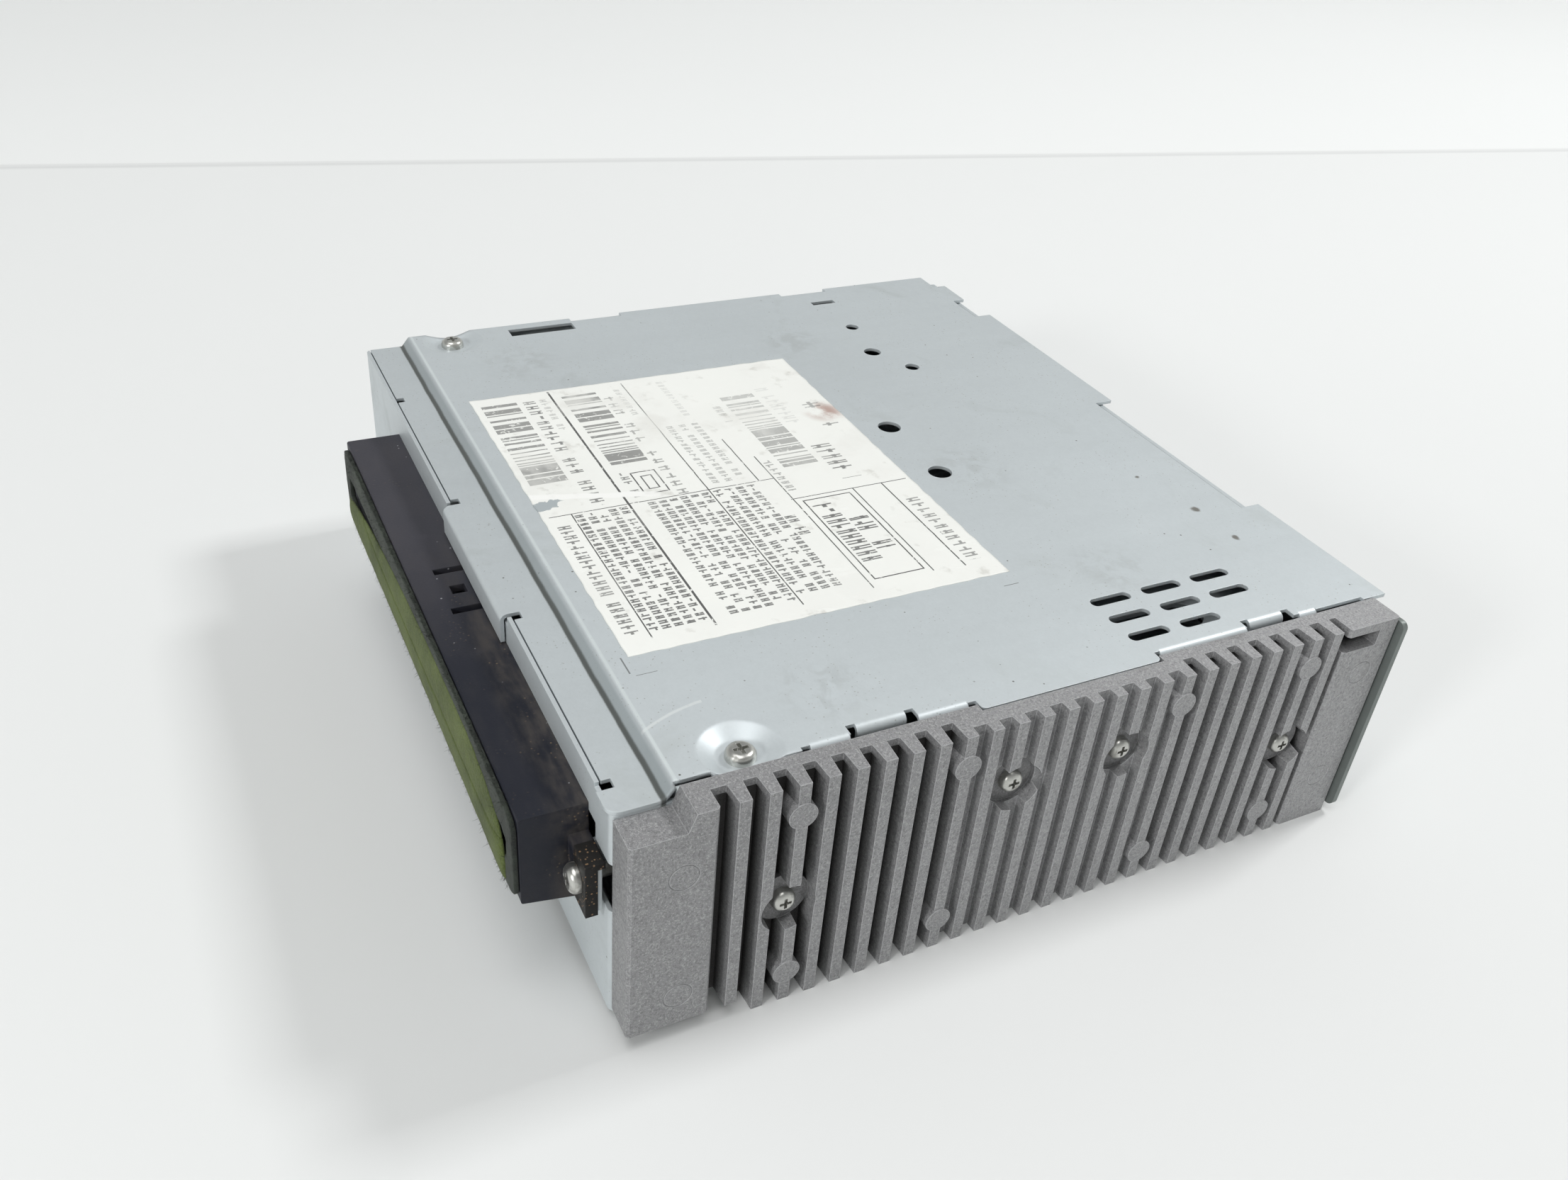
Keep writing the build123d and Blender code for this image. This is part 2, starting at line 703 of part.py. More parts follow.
with BuildPart() as rear_plate_screws:
    for x, z in rear_screws:
        seat = (across(x), behind(rear_plate_front + rear_plate_sheet), z)
        screw(seat, (0, 1, 0), m3_head, m3_head_height, m3_shank, 6.0)
rear_plate_screws.part.label = "rear_plate_screws"
export_step(rear_plate_screws.part, "parts/rear_plate_screws.step")

# Heat sink: a die-cast side wall with tapered fins, end blocks, screw pockets and ejector bosses
sink_low = step_height + sink_inset
sink_high = strip_top - sink_inset
fin_places = [fin_first + index * fin_pitch for index in range(fin_count)]
clamp_screws = [(chip_middle + side * chip_screw_spacing / 2, chip_height) for side in (-1, 1)]
sink_screws = [*rail_screws, *clamp_screws]
with BuildPart() as heat_sink:
    sink_plane = Plane.YZ.offset(across(sink_back))
    front_step = [
        (behind(step_end + 0.8), body_height),
        (behind(step_start + 1.2), sink_high),
        (behind(sink_front), sink_high),
        (behind(sink_front), sink_low),
    ]
    fin_gap = fin_places[0] + fin_pitch / 2
    base_rear = [
        (behind(fin_gap), sink_low),
        (behind(fin_gap), 0),
        (behind(sink_rear), 0),
        (behind(sink_rear), body_height),
    ]
    extrude(outline(sink_plane, front_step + base_rear), amount=sink_base)
    block_rear = [(behind(front_block), sink_low), (behind(front_block), body_height)]
    extrude(outline(sink_plane, front_step + block_rear), amount=sink_face - sink_back)
    block(sink_back, sink_face, rear_block_start, sink_rear, 0, body_height)
    chamfer(heat_sink.faces().group_by(Axis.X)[-1].edges().filter_by(Axis.Z), 0.5)
    block(
        sink_back + 1,
        shallow_floor,
        fin_places[shallow_fins[0] - 1],
        fin_places[shallow_fins[1] - 1],
        0,
        body_height,
    )
    for number, place in enumerate(fin_places, start=1):
        fin_bottom = sink_low if number == 1 else 0
        taper = [
            (across(sink_back + 1), behind(place - fin_root / 2)),
            (across(sink_face), behind(place - fin_tip / 2)),
            (across(sink_face), behind(place + fin_tip / 2)),
            (across(sink_back + 1), behind(place + fin_root / 2)),
        ]
        extrude(outline(Plane.XY.offset(fin_bottom), taper), amount=body_height - fin_bottom)
    for number in boss_fins:
        for z in boss_heights:
            crossbar(sink_back + 1, sink_face + boss_proud, fin_places[number - 1], z, boss_radius)
    for y, z in sink_screws:
        crossbar(sink_back + 1, pocket_floor, y, z, pocket_radius)
        crossbar(pocket_floor, sink_face + 1, y, z, pocket_radius, Mode.SUBTRACT)
        crossbar(sink_back - 1, sink_face + 1, y, z, m26_shank / 2 + screw_play, Mode.SUBTRACT)
    mouth_rear, mouth_floor, mouth_roof = rear_mouth
    block(
        sink_back + 1, sink_face + 1, rear_block_start - 1, mouth_rear, mouth_floor, mouth_roof, Mode.SUBTRACT
    )
    boss_x, boss_y = right_lid_screw
    half = screw_boss / 2
    for z0 in (tab_top - screw_boss, dimple_depth + sheet):
        block(boss_x - half, sink_back, boss_y - half, boss_y + half, z0, z0 + screw_boss)
        post(boss_x, boss_y, z0, z0 + screw_boss, m3_shank / 2, Mode.SUBTRACT)
    block(
        sink_back - 1,
        tongue_reach + seat_gap,
        tongue_span[0] - seat_gap,
        tongue_span[1] + seat_gap,
        lid_under - seat_gap,
        body_height + 1,
        Mode.SUBTRACT,
    )
    for y, z in rings:
        with BuildSketch(Plane.YZ.offset(across(sink_face))):
            with Locations((behind(y), z)):
                Circle(ring_radius)
                Circle(ring_radius - ring_groove, mode=Mode.SUBTRACT)
        extrude(amount=-ring_depth, mode=Mode.SUBTRACT)
heat_sink.part.label = "heat_sink"
export_step(heat_sink.part, "parts/heat_sink.step")

with BuildPart() as heat_sink_screws:
    for y, z in rail_screws:
        screw((across(pocket_floor), behind(y), z), (1, 0, 0), m26_head, m26_head_height, m26_shank, 5.3)
    for y, z in clamp_screws:
        screw((across(pocket_floor), behind(y), z), (1, 0, 0), m26_head, m26_head_height, m26_shank, 10.8)
heat_sink_screws.part.label = "heat_sink_screws"
export_step(heat_sink_screws.part, "parts/heat_sink_screws.step")

with BuildPart() as top_cover_screws:
    for x, y in (right_lid_screw, left_lid_screw):
        screw((across(x), behind(y), dimple_floor), (0, 0, 1), m3_head, m3_head_height, m3_shank, 6.0)
top_cover_screws.part.label = "top_cover_screws"
export_step(top_cover_screws.part, "parts/top_cover_screws.step")

with BuildPart() as bottom_cover_screws:
    for x, y in floor_screws:
        screw((across(x), behind(y), dimple_depth), (0, 0, -1), m3_head, dimple_depth, m3_shank, 4.5)
bottom_cover_screws.part.label = "bottom_cover_screws"
export_step(bottom_cover_screws.part, "parts/bottom_cover_screws.step")

# Label: a thin sheet stuck on the lid
with BuildPart() as rating_label:
    with BuildSketch(Plane.XY.offset(body_height)):
        x0, x1, y0, y1 = label_span
        with Locations((across((x0 + x1) / 2), behind((y0 + y1) / 2))):
            RectangleRounded(x1 - x0, y1 - y0, 0.8)
    extrude(amount=label_thickness)
rating_label.part.label = "rating_label"
export_step(rating_label.part, "parts/rating_label.step")

# Slot bezel: a moulded hood with the disc slot, a snap tongue on top and a screw lug at each end
bezel_middle = (bezel_left + bezel_right) / 2
lug_z = (lug_bottom + lug_top) / 2
lug_places = (bezel_left - lug_reach / 2, bezel_right + lug_reach / 2)
with BuildPart() as slot_bezel:
    hood = [
        (behind(-bezel_depth), bezel_bottom_front),
        (behind(0), bezel_bottom_rear),
        (behind(0), bezel_top),
        (behind(-bezel_depth), bezel_top),
    ]
    extrude(outline(Plane.YZ.offset(across(bezel_left)), hood), amount=bezel_right - bezel_left)
    fillet(slot_bezel.edges().filter_by(Axis.X).sort_by(Axis.Y)[:2], 0.5)
    hollow = [
        (behind(-bezel_depth + bezel_wall), bezel_bottom_front + bezel_wall),
        (behind(1), bezel_bottom_rear + bezel_wall),
        (behind(1), bezel_top - bezel_wall),
        (behind(-bezel_depth + bezel_wall), bezel_top - bezel_wall),
    ]
    extrude(
        outline(Plane.YZ.offset(across(bezel_left + bezel_wall)), hollow),
        amount=bezel_right - bezel_left - 2 * bezel_wall,
        mode=Mode.SUBTRACT,
    )
    with BuildSketch(Plane.XZ.offset(-behind(-bezel_depth))):
        with Locations((across(bezel_middle), slot_middle)):
            RectangleRounded(slot_length + 2 * slot_flare, slot_height + 2 * slot_flare, 1.5)
    extrude(amount=-bezel_wall, taper=degrees(atan2(slot_flare, bezel_wall)), mode=Mode.SUBTRACT)
    for side in (-1, 1):
        x = bezel_middle + side * tongue_width / 2
        block(
            x - tongue_slit / 2, x + tongue_slit / 2, -tongue_slit_length, 1, bezel_top - 3, bezel_top + 1,
            Mode.SUBTRACT,
        )
    block(
        bezel_middle - tongue_hole / 2, bezel_middle + tongue_hole / 2, tongue_hole_front,
        tongue_hole_front + tongue_hole, bezel_top - 3, bezel_top + 1, Mode.SUBTRACT,
    )
    for inner, outer in ((bezel_left, bezel_left - lug_reach), (bezel_right, bezel_right + lug_reach)):
        x0, x1 = sorted((inner, outer))
        block(x0, x1, -lug_front, -lug_front + lug_plate, lug_bottom, lug_top)
        block(x0, x1, -lug_front, 0, lug_top - lug_roof, lug_top)
    for x in lug_places:
        lengthwise(x, -lug_front - 1, 1, lug_z, m26_shank / 2 + screw_play, Mode.SUBTRACT)
slot_bezel.part.label = "slot_bezel"
export_step(slot_bezel.part, "parts/slot_bezel.step")

with BuildPart() as bezel_screws:
    for x in lug_places:
        seat = (across(x), behind(-lug_front), lug_z)
        screw(seat, (0, -1, 0), m3_head, m3_head_height, m26_shank, 8.0)
bezel_screws.part.label = "bezel_screws"
export_step(bezel_screws.part, "parts/bezel_screws.step")

# Dust seal: a felt sheet with the slot cut in it, a foam lip under the slot and an arched one over it
felt_front = -bezel_depth - felt_thickness
with BuildPart() as felt_pad:
    with BuildSketch(Plane.XZ.offset(-behind(felt_front))):
        felt_bottom = bezel_bottom_front + felt_margin
        felt_top = bezel_top - felt_margin
        with Locations((across(bezel_middle), (felt_bottom + felt_top) / 2)):
            Rectangle(bezel_right - bezel_left - 2 * felt_margin, felt_top - felt_bottom)
        with Locations((across(bezel_middle), slot_middle)):
            RectangleRounded(slot_length + 2, slot_height + 2, 1.5, mode=Mode.SUBTRACT)
    extrude(amount=-felt_thickness)
felt_pad.part.label = "felt_pad"
export_step(felt_pad.part, "parts/felt_pad.step")

foam_top = slot_middle - slot_height / 2 - foam_gap
upper_low = slot_middle + slot_height / 2 + foam_gap
upper_middle = bezel_middle + upper_foam_shift
with BuildPart() as foam_lip:
    with BuildSketch(Plane.XZ.offset(-behind(felt_front))):
        with Locations((across(bezel_middle), foam_top - foam_height / 2)):
            RectangleRounded(foam_length, foam_height, foam_end)
        with BuildLine():
            left_end = (across(upper_middle - upper_foam_length / 2), upper_low)
            right_end = (across(upper_middle + upper_foam_length / 2), upper_low)
            left_top = (left_end[0], upper_low + upper_foam_end)
            right_top = (right_end[0], upper_low + upper_foam_end)
            Polyline(left_top, left_end, right_end, right_top)
            ThreePointArc(right_top, (across(upper_middle), upper_low + upper_foam_rise), left_top)
        make_face()
    extrude(amount=foam_bulge)
    fillet(foam_lip.faces().group_by(Axis.Y)[0].edges(), foam_round)
foam_lip.part.label = "foam_lip"
export_step(foam_lip.part, "parts/foam_lip.step")

# Bezel brackets: bent sheet between the mechanism's side walls and the bezel's lugs
bracket_front = -lug_front + lug_plate
bracket_rear = 9.0
bracket_bottom = lug_bottom + 0.8
with BuildPart() as bezel_brackets:
    for side in (-1, 1):
        wall_face = disc_x + side * (mech_right - disc_x)
        arm_face = bezel_middle + side * (bezel_right - bezel_middle + 0.4)
        ear_end = bezel_middle + side * (bezel_right - bezel_middle + lug_reach - 0.2)
        bent_strip = [
            (across(ear_end), behind(bracket_front)),
            (across(arm_face), behind(bracket_front)),
            (across(arm_face), behind(bracket_rear - sheet)),
            (across(wall_face), behind(bracket_rear - sheet)),
            (across(wall_face), behind(bracket_rear)),
            (across(arm_face + side * sheet), behind(bracket_rear)),
            (across(arm_face + side * sheet), behind(bracket_front + sheet)),
            (across(ear_end), behind(bracket_front + sheet)),
        ]
        height = lug_top - lug_roof - seat_gap - bracket_bottom
        extrude(outline(Plane.XY.offset(bracket_bottom), bent_strip), amount=height)
    for x in lug_places:
        lengthwise(x, bracket_front - 1, bracket_front + 2, lug_z, m26_shank / 2, Mode.SUBTRACT)
bezel_brackets.part.label = "bezel_brackets"
export_step(bezel_brackets.part, "parts/bezel_brackets.step")

# Circuit board and its fixings
with BuildPart() as main_board:
    with BuildSketch(Plane.XY.offset(board_under)):
        plan_rect(*board_span)
        for x, y in damper_places:
            with Locations((across(x), behind(y))):
                Circle(post_stem + 0.6, mode=Mode.SUBTRACT)
        for x, y in standoffs:
            with Locations((across(x), behind(y))):
                Circle(m3_shank / 2 + screw_play, mode=Mode.SUBTRACT)
    extrude(amount=board_thickness)
    block(boss_x - 5, case_width, boss_y - 5, boss_y + 5, 0, board_top + 1, Mode.SUBTRACT)
main_board.part.label = "main_board"
export_step(main_board.part, "parts/main_board.step")

with BuildPart() as board_standoffs:
    for x, y in standoffs:
        post(x, y, sheet, board_under, standoff_radius)
        post(x, y, sheet + 1.5, board_under, m3_shank / 2, Mode.SUBTRACT)
board_standoffs.part.label = "board_standoffs"
export_step(board_standoffs.part, "parts/board_standoffs.step")

with BuildPart() as board_screws:
    for x, y in standoffs:
        screw((across(x), behind(y), board_top), (0, 0, 1), m3_head, m3_head_height, m3_shank, 5.0)
board_screws.part.label = "board_screws"
export_step(board_screws.part, "parts/board_screws.step")

# Components on the board
with BuildPart() as tuner_can:
    x0, x1, y0, y1 = can_span
    block(x0, x1, y0, y1, board_top, board_top + can_height)
    fillet(tuner_can.edges().filter_by(Axis.Z), 1.0)
    chamfer(tuner_can.faces().sort_by(Axis.Z)[-1].edges(), 0.4)
    can_top = board_top + can_height
    for y in (y0 + 12, y1 - 12):
        post((x0 + x1) / 2, y, can_top - 0.5, can_top + 1, 2.0, Mode.SUBTRACT)
tuner_can.part.label = "tuner_can"
export_step(tuner_can.part, "parts/tuner_can.step")

with BuildPart() as bulk_capacitors:
    for x, y in capacitors:
        groove = board_top + 3.0
        turned(
            x,
            y,
            (
                (0, board_top),
                (capacitor_radius, board_top),
                (capacitor_radius, groove),
                (capacitor_radius - 0.5, groove + 0.6),
                (capacitor_radius, groove + 1.2),
                (capacitor_radius, board_top + capacitor_height - 0.5),
                (capacitor_radius - 0.5, board_top + capacitor_height),
                (0, board_top + capacitor_height),
            ),
        )
bulk_capacitors.part.label = "bulk_capacitors"
export_step(bulk_capacitors.part, "parts/bulk_capacitors.step")

with BuildPart() as choke_coil:
    choke_top = board_top + choke_height
    turned(
        *choke_place,
        (
            (0, board_top),
            (choke_flange, board_top),
            (choke_flange, board_top + choke_flange_height),
            (choke_radius, board_top + choke_flange_height),
            (choke_radius, choke_top - choke_flange_height),
            (choke_flange, choke_top - choke_flange_height),
            (choke_flange, choke_top),
            (0, choke_top),
        ),
    )
choke_coil.part.label = "choke_coil"
export_step(choke_coil.part, "parts/choke_coil.step")

with BuildPart() as flat_chips:
    for x, y, side in chip_places:
        with Locations((across(x), behind(y), board_top + flat_chip_thickness / 2)):
            Box(side, side, flat_chip_thickness)
    chamfer(flat_chips.faces().filter_by(Axis.Z).group_by(Axis.Z)[-1].edges(), 0.3)
flat_chips.part.label = "flat_chips"
export_step(flat_chips.part, "parts/flat_chips.step")

# Amplifier chip on the heat sink's inner face, with the clamp plate that its screws pull against
chip_inner = sink_back - chip_thickness
chip_bottom = chip_height - chip_body / 2
lead_count = 13
with BuildPart() as amplifier_chip:
    block(
        chip_inner,
        sink_back,
        chip_middle - chip_length / 2,
        chip_middle + chip_length / 2,
        chip_bottom,
        chip_bottom + chip_body,
    )
    for index in range(lead_count):
        lead = chip_middle + (index - (lead_count - 1) / 2) * 2.0
        block(chip_inner + 0.6, chip_inner + 1.1, lead - 0.4, lead + 0.4, board_top, chip_bottom)
    for y, z in clamp_screws:
        crossbar(chip_inner - 1, sink_back + 1, y, z, m26_shank / 2 + screw_play, Mode.SUBTRACT)
amplifier_chip.part.label = "amplifier_chip"
export_step(amplifier_chip.part, "parts/amplifier_chip.step")

with BuildPart() as amplifier_clamp:
    with BuildSketch(Plane.YZ.offset(across(chip_inner - clamp_sheet))):
        with Locations((behind(chip_middle), chip_height)):
            RectangleRounded(chip_length + 3, chip_body * 0.6, 1.5)
        for y, z in clamp_screws:
            with Locations((behind(y), z)):
                Circle(m26_shank / 2, mode=Mode.SUBTRACT)
    extrude(amount=clamp_sheet)
amplifier_clamp.part.label = "amplifier_clamp"
export_step(amplifier_clamp.part, "parts/amplifier_clamp.step")

# Rear connector: a moulded shroud with two chambers of blade pins
connector_top = connector_bottom + connector_height
connector_middle = sum(connector_span) / 2
pin_rows = (connector_bottom + 6.5, connector_bottom + 14.5)
pin_offsets = [(index - (pins_per_row - 1) / 2) * pin_pitch for index in range(pins_per_row)]
connector_width = connector_span[1] - connector_span[0]
chamber_middles = [connector_middle + side * connector_width / 4 for side in (-1, 1)]
pin_columns = [middle + offset for middle in chamber_middles for offset in pin_offsets]
pin_places = [(x, z) for x in pin_columns for z in pin_rows]
with BuildPart() as rear_connector:
    block(*connector_span, connector_front, connector_reach, connector_bottom, connector_top)
    fillet(rear_connector.edges().filter_by(Axis.Y), 1.0)
    for middle in chamber_middles:
        chamber = connector_width / 2 - 1.5 * connector_wall
        with BuildSketch(Plane.XZ.offset(-behind(connector_floor))):
            with Locations((across(middle), (connector_bottom + connector_top) / 2)):
                RectangleRounded(chamber, connector_height - 2 * connector_wall, 0.6)
        extrude(amount=-(connector_reach - connector_floor), mode=Mode.SUBTRACT)
    for x, z in pin_places:
        half = pin_size / 2
        y0, y1 = connector_front - 1, connector_floor + 1
        block(x - half, x + half, y0, y1, z - half, z + half, Mode.SUBTRACT)
    for x in (connector_span[0] + 4, connector_span[1] - 4):
        block(x - 3, x + 3, connector_front, board_span[3], board_top, connector_bottom)
rear_connector.part.label = "rear_connector"
export_step(rear_connector.part, "parts/rear_connector.step")

with BuildPart() as connector_pins:
    for x, z in pin_places:
        half = pin_size / 2
        leg = connector_front - (1.2 if z == pin_rows[0] else 3.0)
        block(x - half, x + half, leg, pin_tip, z - half, z + half)
        block(x - half, x + half, leg - pin_size, leg, board_top, z + half)
connector_pins.part.label = "connector_pins"
export_step(connector_pins.part, "parts/connector_pins.step")

# Antenna socket: a turned metal barrel on a foot, with a centre contact
with BuildPart() as antenna_socket:
    floor_y = antenna_reach - antenna_depth
    lengthwise(antenna_x, connector_front, antenna_reach, antenna_z, antenna_radius)
    lengthwise(antenna_x, floor_y, antenna_reach + 1, antenna_z, antenna_bore, Mode.SUBTRACT)
    contact_end = floor_y + 5.0
    lengthwise(antenna_x, floor_y - 0.5, contact_end, antenna_z, antenna_contact_radius)
    lengthwise(antenna_x, floor_y + 1.5, contact_end + 1, antenna_z, 0.8, Mode.SUBTRACT)
    block(antenna_x - 5, antenna_x + 5, connector_front, board_span[3], board_top, antenna_z - 4.5)
antenna_socket.part.label = "antenna_socket"
export_step(antenna_socket.part, "parts/antenna_socket.step")

# Mechanism frame: side walls, rear deck and front cross plate bent from one sheet
screw_rear = mech_rear - 1.0
rod_front = disc_y + motor_radius - 0.2
rod_places = (disc_x - rod_spread, disc_x + rod_spread)
worm_wheel_radius = gear_module * wheel_teeth / 2
small_radius = gear_module * small_teeth / 2
arm_angle = atan2(roller_z - swing_z, roller_y - swing_y)
idler_angle = arm_angle - pi / 2
idler_distance = 2 * small_radius + mesh_play
idler_y = roller_y + idler_distance * cos(idler_angle)
idler_z = roller_z + idler_distance * sin(idler_angle)
wheel_angle = radians(-10)
wheel_distance = small_radius + worm_wheel_radius + mesh_play
wheel_y = idler_y + wheel_distance * cos(wheel_angle)
wheel_z = idler_z + wheel_distance * sin(wheel_angle)
worm_z = wheel_z - worm_wheel_radius - worm_pitch_radius - mesh_play
gear_middle = gear_left + gear_width / 2
with BuildPart() as mech_frame:
    with BuildSketch(Plane.XZ.offset(-behind(mech_front))):
        for x in (mech_left, mech_right - mech_sheet):
            with Locations((across(x + mech_sheet / 2), (wall_bottom + wall_top) / 2)):
                Rectangle(mech_sheet, wall_top - wall_bottom)
    extrude(amount=-(mech_rear - mech_front))
    block(mech_left, mech_right, mech_front, cross_plate_rear, wall_bottom, wall_bottom + mech_sheet)
    block(mech_left, mech_right, deck_front, mech_rear, deck_top - mech_sheet, deck_top)
    with BuildSketch(Plane.XY.offset(deck_top - mech_sheet)):
        with Locations((across(disc_x), behind(disc_y))):
            Circle(motor_boss + seat_gap)
        window_half = turret_radius + window_margin
        window_rear = disc_y + pickup_inner + pickup_travel + window_half
        plan_rect(
            disc_x - window_half, disc_x + window_half, disc_y + motor_radius + 1, window_rear
        )
        for x in (disc_x - deck_opening_offset, disc_x + deck_opening_offset):
            plan_slot(x, deck_opening_middle, deck_opening_length, deck_opening_width, Mode.ADD)
    extrude(amount=mech_sheet, mode=Mode.SUBTRACT)
    for x in rod_places:
        for y in (rod_front, screw_rear - rod_tab_sheet):
            x0, x1 = x - rod_tab_half, x + rod_tab_half
            block(x0, x1, y, y + rod_tab_sheet, rod_z - rod_tab_half, deck_top - mech_sheet)
        lengthwise(x, disc_y, mech_rear, rod_z, rod_radius, Mode.SUBTRACT)
    block(
        screw_x - rod_tab_half, screw_x + rod_tab_half, screw_rear - rod_tab_sheet, screw_rear,
        rod_z - rod_tab_half, deck_top - mech_sheet,
    )
    bore = feed_radius + running_gap
    lengthwise(screw_x, screw_rear - 2, screw_rear + 1, rod_z, bore, Mode.SUBTRACT)
    for x, y in damper_places:
        x0, x1 = (x - damper_radius - 0.5, mech_left) if x < disc_x else (mech_right, x + damper_radius)
        block(x0, x1, y - ear_half_length, y + ear_half_length, ear_under, ear_under + mech_sheet)
        post(x, y, ear_under - 1, ear_under + 2, 2.2, Mode.SUBTRACT)
    block(
        gear_middle - 5, mech_left, load_motor_front - mech_sheet, load_motor_front,
        wall_bottom + 1, deck_top,
    )
    lengthwise(gear_middle, load_motor_front - 2, load_motor_front + 1, worm_z, 3.6, Mode.SUBTRACT)
    bore = shaft_radius + running_gap
    crossbar(mech_left - 1, mech_right + 1, swing_y, swing_z, bore, Mode.SUBTRACT)
    block(
        mech_left - 1, mech_left + 2, roller_y - 3.2, roller_y + 2.6, roller_z - 6, roller_z + 2.4,
        Mode.SUBTRACT,
    )
    for x, y in mech_board_posts:
        post(x, y, mech_board_top, deck_top - mech_sheet, 1.8)
mech_frame.part.label = "mech_frame"
export_step(mech_frame.part, "parts/mech_frame.step")

# Mechanism top plate: opening for the clamp arm, arc slots for the lever pins, lugs for the arm's pin
lever_places = (lever_pivot, (2 * disc_x - lever_pivot[0], lever_pivot[1]))
arm_opening = arm_root_width / 2 + 1
with BuildPart() as mech_top_plate:
    with BuildSketch(Plane.XY.offset(wall_top)):
        plan_rect(mech_left, mech_right, plate_front, mech_rear)
        x0, x1 = disc_x - arm_opening, disc_x + arm_opening
        plan_rect(x0, x1, arm_opening_front, mech_rear + 1, Mode.SUBTRACT)
        for offset in plate_opening_offsets:
            plan_slot(disc_x + offset, plate_opening_middle, plate_opening_length, plate_opening_width)
        for side, (x, y) in zip((1, -1), lever_places):
            with Locations((across(x), behind(y))):
                Circle(shaft_radius + running_gap, mode=Mode.SUBTRACT)
            start = lever_angle if side == 1 else 180 - lever_angle
            sweep_angle = -side * lever_swing
            with BuildLine(mode=Mode.PRIVATE):
                path = CenterArc((across(x), behind(y)), lever_length, start, sweep_angle)
            SlotArc(path, 2 * lever_pin_radius + 1.0, mode=Mode.SUBTRACT)
    extrude(amount=mech_sheet)
    for x in (disc_x - arm_opening - mech_sheet / 2, disc_x + arm_opening + mech_sheet / 2):
        block(
            x - mech_sheet / 2, x + mech_sheet / 2, pivot_y - 3, mech_rear,
            pivot_z - 2.5, wall_top,
        )
    crossbar(disc_x - 20, disc_x + 20, pivot_y, pivot_z, pivot_radius, Mode.SUBTRACT)
mech_top_plate.part.label = "mech_top_plate"
export_step(mech_top_plate.part, "parts/mech_top_plate.step")

# Upper disc guide: a moulded bar over the roller, with a flared mouth and weight-saving pockets
guide_left = mech_left + mech_sheet
guide_right = mech_right - mech_sheet
guide_rear = 30.0
guide_low = disc_under + 2.45
guide_pockets = 6
guide_wall = 2.0
with BuildPart() as disc_guide:
    guide_section = [
        (behind(plate_front), wall_top),
        (behind(plate_front), guide_low + 3.2),
        (behind(plate_front + 5), guide_low),
        (behind(guide_rear - 3), guide_low),
        (behind(guide_rear), guide_low + 2.2),
        (behind(guide_rear), wall_top),
    ]
    extrude(outline(Plane.YZ.offset(across(guide_left)), guide_section), amount=guide_right - guide_left)
    pocket_step = (guide_right - guide_left - guide_wall) / guide_pockets
    for index in range(guide_pockets):
        x0 = guide_left + guide_wall + index * pocket_step
        x1 = x0 + pocket_step - guide_wall
        y0, y1 = plate_front + guide_wall, guide_rear - guide_wall
        block(x0, x1, y0, y1, guide_low + 4, wall_top + 1, Mode.SUBTRACT)
disc_guide.part.label = "disc_guide"
export_step(disc_guide.part, "parts/disc_guide.step")

# Support posts and rubber dampers
with BuildPart() as support_posts:
    for x, y in damper_places:
        turned(
            x,
            y,
            (
                (0, sheet),
                (post_flange, sheet),
                (post_flange, sheet + 1.5),
                (post_stem, sheet + 2.5),
                (post_stem, damper_bottom - 1.0),
                (post_flange, damper_bottom - 1.0),
                (post_flange, damper_bottom),
                (post_radius, damper_bottom),
                (post_radius, ear_under + 3.5),
                (0, ear_under + 3.5),
            ),
        )
support_posts.part.label = "support_posts"
export_step(support_posts.part, "parts/support_posts.step")

with BuildPart() as rubber_dampers:
    for x, y in damper_places:
        middle = (damper_bottom + ear_under) / 2
        turned(
            x,
            y,
            (
                (post_radius + 0.2, damper_bottom),
                (damper_radius, damper_bottom),
                (damper_radius, middle - 1.2),
                (damper_radius - 1.2, middle),
                (damper_radius, middle + 1.2),
                (damper_radius, ear_under),
                (post_radius + 0.2, ear_under),
            ),
        )
rubber_dampers.part.label = "rubber_dampers"
export_step(rubber_dampers.part, "parts/rubber_dampers.step")

# Mechanism board under the deck, its socket on the main board and the flat cable between them
flex_left, flex_right = mech_left + 18.5, mech_left + 30.5
flex_thickness = 0.3
flex_turn = mech_rear - 3.0
flex_start, flex_end = mech_rear - 11.0, mech_rear - 9.0
flex_low = board_top + 1.25
socket_height = 2.4
socket_length = 5.0
with BuildPart() as mech_board:
    mech_board_under = mech_board_top - mech_board_thickness
    block(*mech_board_span, mech_board_under, mech_board_top)
    fillet(mech_board.edges().filter_by(Axis.Z), 1.0)
    block(*mech_chip_span, mech_board_under - mech_chip_thickness, mech_board_under)
mech_board.part.label = "mech_board"
export_step(mech_board.part, "parts/mech_board.step")

with BuildPart() as flex_socket:
    socket_top = board_top + socket_height
    block(flex_left - 2, flex_right + 2, flex_end - socket_length, flex_end, board_top, socket_top)
    chamfer(flex_socket.faces().sort_by(Axis.Z)[-1].edges(), 0.3)
flex_socket.part.label = "flex_socket"
export_step(flex_socket.part, "parts/flex_socket.step")

